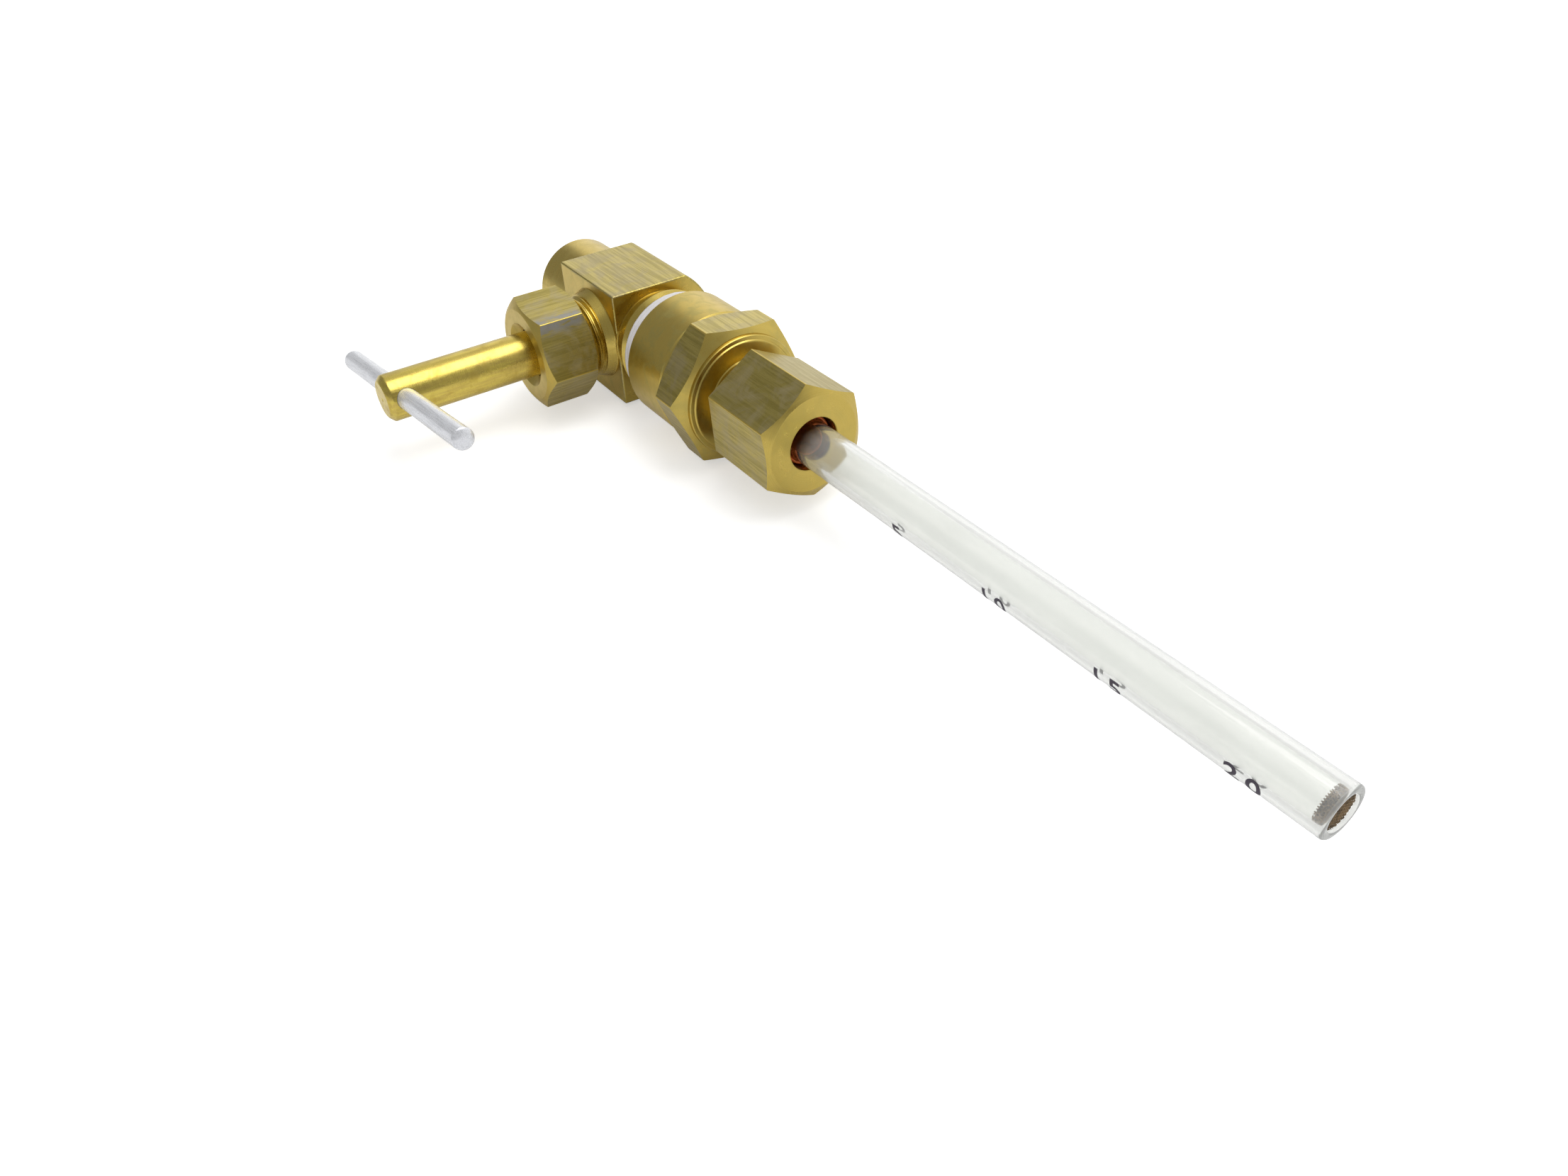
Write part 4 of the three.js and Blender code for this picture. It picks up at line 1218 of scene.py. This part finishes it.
class PROBE_OT_marks(bpy.types.Operator):
    """Prints the plain depth numbers on the glass"""
    bl_idname = "probe.marks"
    bl_label = "Depth numbers"

    def execute(self, context):
        probe = context.scene.probe
        size = probe.glass
        ink = printed_ink("burnt_ink")
        tube = bpy.data.objects["glass_sampling_tube"]
        for count in range(size.mark_count):
            turn = size.mark_turn + count * size.mark_drift
            self.number(size, tube, ink, (count + 1) * size.mark_value,
                        size.first_mark + count * size.mark_step, turn)
        return {"FINISHED"}

    def number(self, size, tube, ink, value, level, turn):
        """One number, cut into strips so that it can bend round the glass."""
        clear()
        bpy.ops.object.text_add()
        text = bpy.context.object.data
        text.body = str(value)
        text.size = size.digit_height / 0.7  # a capital stands 0.7 of the text size
        text.align_x = text.align_y = "CENTER"
        text.space_character = 1.4
        text.offset = 0.05 * MM
        text.resolution_u = 6
        bpy.ops.object.convert(target="MESH")
        digits = named(f"mark_{value}")
        edit(digits)
        bpy.ops.mesh.remove_doubles(threshold=10 * SNAP)
        bpy.ops.transform.resize(value=(size.digit_stretch, 1, 1), center_override=(0, 0, 0))
        strips = 18
        for strip in range(1, strips):
            bisect((0, size.digit_height * (strip / strips - 0.5) * 1.1, 0), (0, 1, 0))
        mode("OBJECT")
        # text along +X, its face outwards, its top towards the upper side of the tube
        outward = Vector((0, math.cos(turn), math.sin(turn)))
        along = Vector((1, 0, 0))
        axes = Matrix((along, outward.cross(along), outward)).transposed().to_4x4()
        digits.matrix_world = Matrix.Translation(
            CROSSING + along * level + outward * (TUBE_RADIUS + MM)) @ axes
        modify(digits, "SHRINKWRAP", target=tube, wrap_method="PROJECT",
               use_project_z=True, use_negative_direction=True, use_positive_direction=False,
               offset=size.digit_lift)
        modify(digits, "SOLIDIFY", thickness=size.ink, offset=1)
        shift(digits)
        clad(digits, ink)
        fit(digits, 50, "tube", "glass")


class PROBE_OT_gauze(bpy.types.Operator):
    """Weaves the wire gauze that closes the tip of the tube"""
    bl_idname = "probe.gauze"
    bl_label = "Gauze"

    def execute(self, context):
        probe = context.scene.probe
        size = probe.gauze
        finish = gauze_wire("bronze_wire")
        face = join("woven_gauze", self.discs(size))
        join("woven_gauze", [face, self.skirt(size)])
        shift(face, ON_MAIN)
        clad(face, finish)
        fit(face, 60, "tube", "bronze_gauze", "gauze_thimble")
        return {"FINISHED"}

    def wavy(self, size, run, first_up):
        """One wire along X, woven over and under at every crossing."""
        lift = size.wire * 1.08
        points = []
        for step in range(math.ceil(run / size.pitch) * 2 + 1):
            side = (0, 1, 0, -1)[(step + (0 if first_up else 2)) % 4]
            points.append((step * size.pitch / 2 - run / 2 + size.pitch / 2, side * lift))
        drawn("wire", points)
        mode("OBJECT")
        bpy.ops.object.convert(target="CURVE")
        wire = bpy.context.object.data
        wire.bevel_depth = size.wire
        wire.bevel_resolution = 1
        wire.use_fill_caps = True
        bpy.ops.object.convert(target="MESH")
        edit(bpy.context.object)
        weld()
        return bpy.context.object

    def cloth(self, size, name, run, width):
        """A flat piece of woven gauze in the XY plane."""
        parts = []
        for crosswise, (wire_run, spread) in enumerate(((run, width), (width, run))):
            rows = max(2, math.floor(spread / size.pitch / 2) * 2)
            for odd in (False, True):
                wire = self.wavy(size, wire_run, odd != bool(crosswise))
                start = -(rows - 1) / 2 * size.pitch + (size.pitch if odd else 0)
                modify(wire, "ARRAY", count=rows // 2, use_relative_offset=False,
                       use_constant_offset=True, constant_offset_displace=(0, 2 * size.pitch, 0))
                spot = Matrix.Translation((0, start, 0))
                if crosswise:
                    spot = Matrix.Rotation(QUARTER, 4, "Z") @ spot
                parts.append(shift(wire, spot))
        return join(name, parts)

    def discs(self, size):
        """Discs of gauze trimmed round, one behind the other and turned apart, and a backing."""
        radius = GAUZE_RADIUS + size.wire
        stack = []
        for count in range(size.layers):
            disc = self.cloth(size, f"gauze_disc_{count}", 2.5 * radius, 2.5 * radius)
            level = GAUZE_FACE + size.bulge - 2 * size.wire - count * size.layer_step
            turn = Matrix.Rotation(math.radians(18 + 31 * count), 4, "Z")
            shift(disc, up(level) @ turn)
            trim = rod("gauze_trim", level - OVERRUN, level + OVERRUN, radius, SOME_SIDES)
            stack.append(combine("INTERSECT", disc, trim))
        rear = GAUZE_FACE - size.layers * size.layer_step
        stack.append(turned("gauze_plug", [
            *near(0, rear, (0, -0.1)), *near(radius, rear, (-0.15, -0.1), (-0.02, 0),
                                             (-0.02, 0.06), (-0.2, 0.14)),
            *near(0, rear, (0, 0.16))], SOME_SIDES))
        return stack

    def skirt(self, size):
        """A strip of gauze bent round into the skirt of the thimble."""
        radius = GAUZE_RADIUS - size.wire
        tall = GAUZE_FACE - GAUZE_REAR - 2 * size.wire
        strip = self.cloth(size, "gauze_skirt", 2 * math.pi * radius, tall)
        shift(strip, Matrix.Rotation(QUARTER, 4, "X"))
        modify(strip, "SIMPLE_DEFORM", deform_method="BEND", deform_axis="Z",
               angle=math.radians(356))
        spots = [v.co for v in strip.data.vertices]
        x, y, z = ((min(s[i] for s in spots) + max(s[i] for s in spots)) / 2 for i in range(3))
        level = (GAUZE_FACE + GAUZE_REAR) / 2 - z + 0.1 * MM
        return shift(strip, Matrix.Translation((-x, -y, level)))


class PROBE_OT_stage(bpy.types.Operator):
    """Lays the pale floor and sets the lamps, the surroundings and the camera"""
    bl_idname = "probe.stage"
    bl_label = "Stage"

    def execute(self, context):
        probe = context.scene.probe
        stage, scene = probe.stage, bpy.context.scene
        self.floor(stage)
        self.lamps(stage)
        self.surroundings(scene, stage)
        self.camera(scene, stage)
        scene.view_settings.view_transform = "Standard"
        return {"FINISHED"}

    def floor(self, stage):
        """Pale paper that is lifted to white where it is seen, and keeps its shadows."""
        clear()
        bpy.ops.mesh.primitive_plane_add(size=stage.floor_size, location=(0, 0, CAD_BOX[0].z))
        floor = named("floor")
        f = Finish("paper_floor", Roughness=0.85, Specular_IOR_Level=0.2)
        grain = f.noise(f.place(), 0.02, 3.0, 0.5)
        f.set("Base Color", f.mix(grain, darker(stage.floor_colour, 0.985), stage.floor_colour))
        camera, glossy, through = f.rays()
        seen = f.sum("MAXIMUM", f.sum("MAXIMUM", camera, through), 0.18 * glossy)
        f.set("Emission Color", (1.0, 1.0, 1.0))
        f.set("Emission Strength", seen * stage.lift)
        clad(floor, f.material)

    def lamps(self, stage):
        for name, place, size, strength in (
            ("overhead_lamp", (0.12, 0.16, 0.62), 0.46, stage.lamp),
            ("rear_panel", (-0.62, 0.42, 0.36), 0.60, stage.sweep),
        ):
            clear()
            bpy.ops.object.light_add(type="AREA", location=CROSSING + Vector(place))
            lamp = named(name)
            lamp.data.shape = "SQUARE"
            lamp.data.size = size
            lamp.data.energy = strength
            lamp.rotation_euler = Vector(place).to_track_quat("Z", "Y").to_euler()

    def surroundings(self, scene, stage):
        """Even light for matt surfaces, a studio with darker sides for metal and glass."""
        world = bpy.data.worlds.new("studio")
        scene.world = world
        world.use_nodes = True
        world.node_tree.nodes.clear()
        room = Wiring(world.node_tree)
        x, y, z = room.split(room.node("TexCoord"))
        side = y - 0.12 * x
        above = room.fade(z, 0.72, 0.95)
        glow = 0.32 + 0.50 * room.fade(side, 0.12, 0.44) + 0.22 * room.fade(side, 0.42, 0.82)
        glow = glow + 0.25 * above
        camera, glossy, through = room.rays()
        seen = room.sum("MAXIMUM", camera, through)
        strength = seen + (1 - seen) * (glossy * glow + (1 - glossy) * stage.room)
        light = room.node("Background", Color=(1.0, 1.0, 1.0), Strength=strength)
        out = room.tree.nodes.new("ShaderNodeOutputWorld")
        room.plug(out.inputs["Surface"], light)

    def camera(self, scene, stage):
        clear()
        bpy.ops.object.camera_add(
            location=CROSSING + Vector(stage.camera_place), rotation=stage.camera_turn)
        camera = named("studio_camera")
        camera.data.sensor_width = 36
        camera.data.sensor_fit = "HORIZONTAL"
        camera.data.lens = stage.lens
        camera.data.clip_start = 0.005
        camera.data.clip_end = 20
        scene.camera = camera


OPERATORS = (
    PROBE_OT_valve, PROBE_OT_handle, PROBE_OT_gland_nut, PROBE_OT_packing, PROBE_OT_tape,
    PROBE_OT_connector, PROBE_OT_seal, PROBE_OT_glass_nut, PROBE_OT_glass, PROBE_OT_marks,
    PROBE_OT_gauze, PROBE_OT_stage,
)


class PROBE_PT_panel(bpy.types.Panel):
    """Lists the pieces of the probe and their sizes and colours"""
    bl_label = "Flame Sensor Probe"
    bl_space_type = "VIEW_3D"
    bl_region_type = "UI"
    bl_category = "Probe"

    def draw(self, context):
        for operator in OPERATORS:
            self.layout.operator(operator.bl_idname)
        for group, kind in GROUPS.items():
            box = self.layout.box()
            box.label(text=group.replace("_", " ").capitalize())
            for size in kind.__annotations__:
                box.prop(getattr(context.scene.probe, group), size)


CLASSES = (*GROUPS.values(), ProbeSettings, *OPERATORS, PROBE_PT_panel)


def register():
    for kind in CLASSES:
        bpy.utils.register_class(kind)
    bpy.types.Scene.probe = PointerProperty(type=ProbeSettings)


def unregister():
    del bpy.types.Scene.probe
    for kind in reversed(CLASSES):
        bpy.utils.unregister_class(kind)


def main():
    register()
    for operator in OPERATORS:
        group, name = operator.bl_idname.split(".")
        getattr(getattr(bpy.ops, group), name)()


if __name__ == "__main__":
    main()
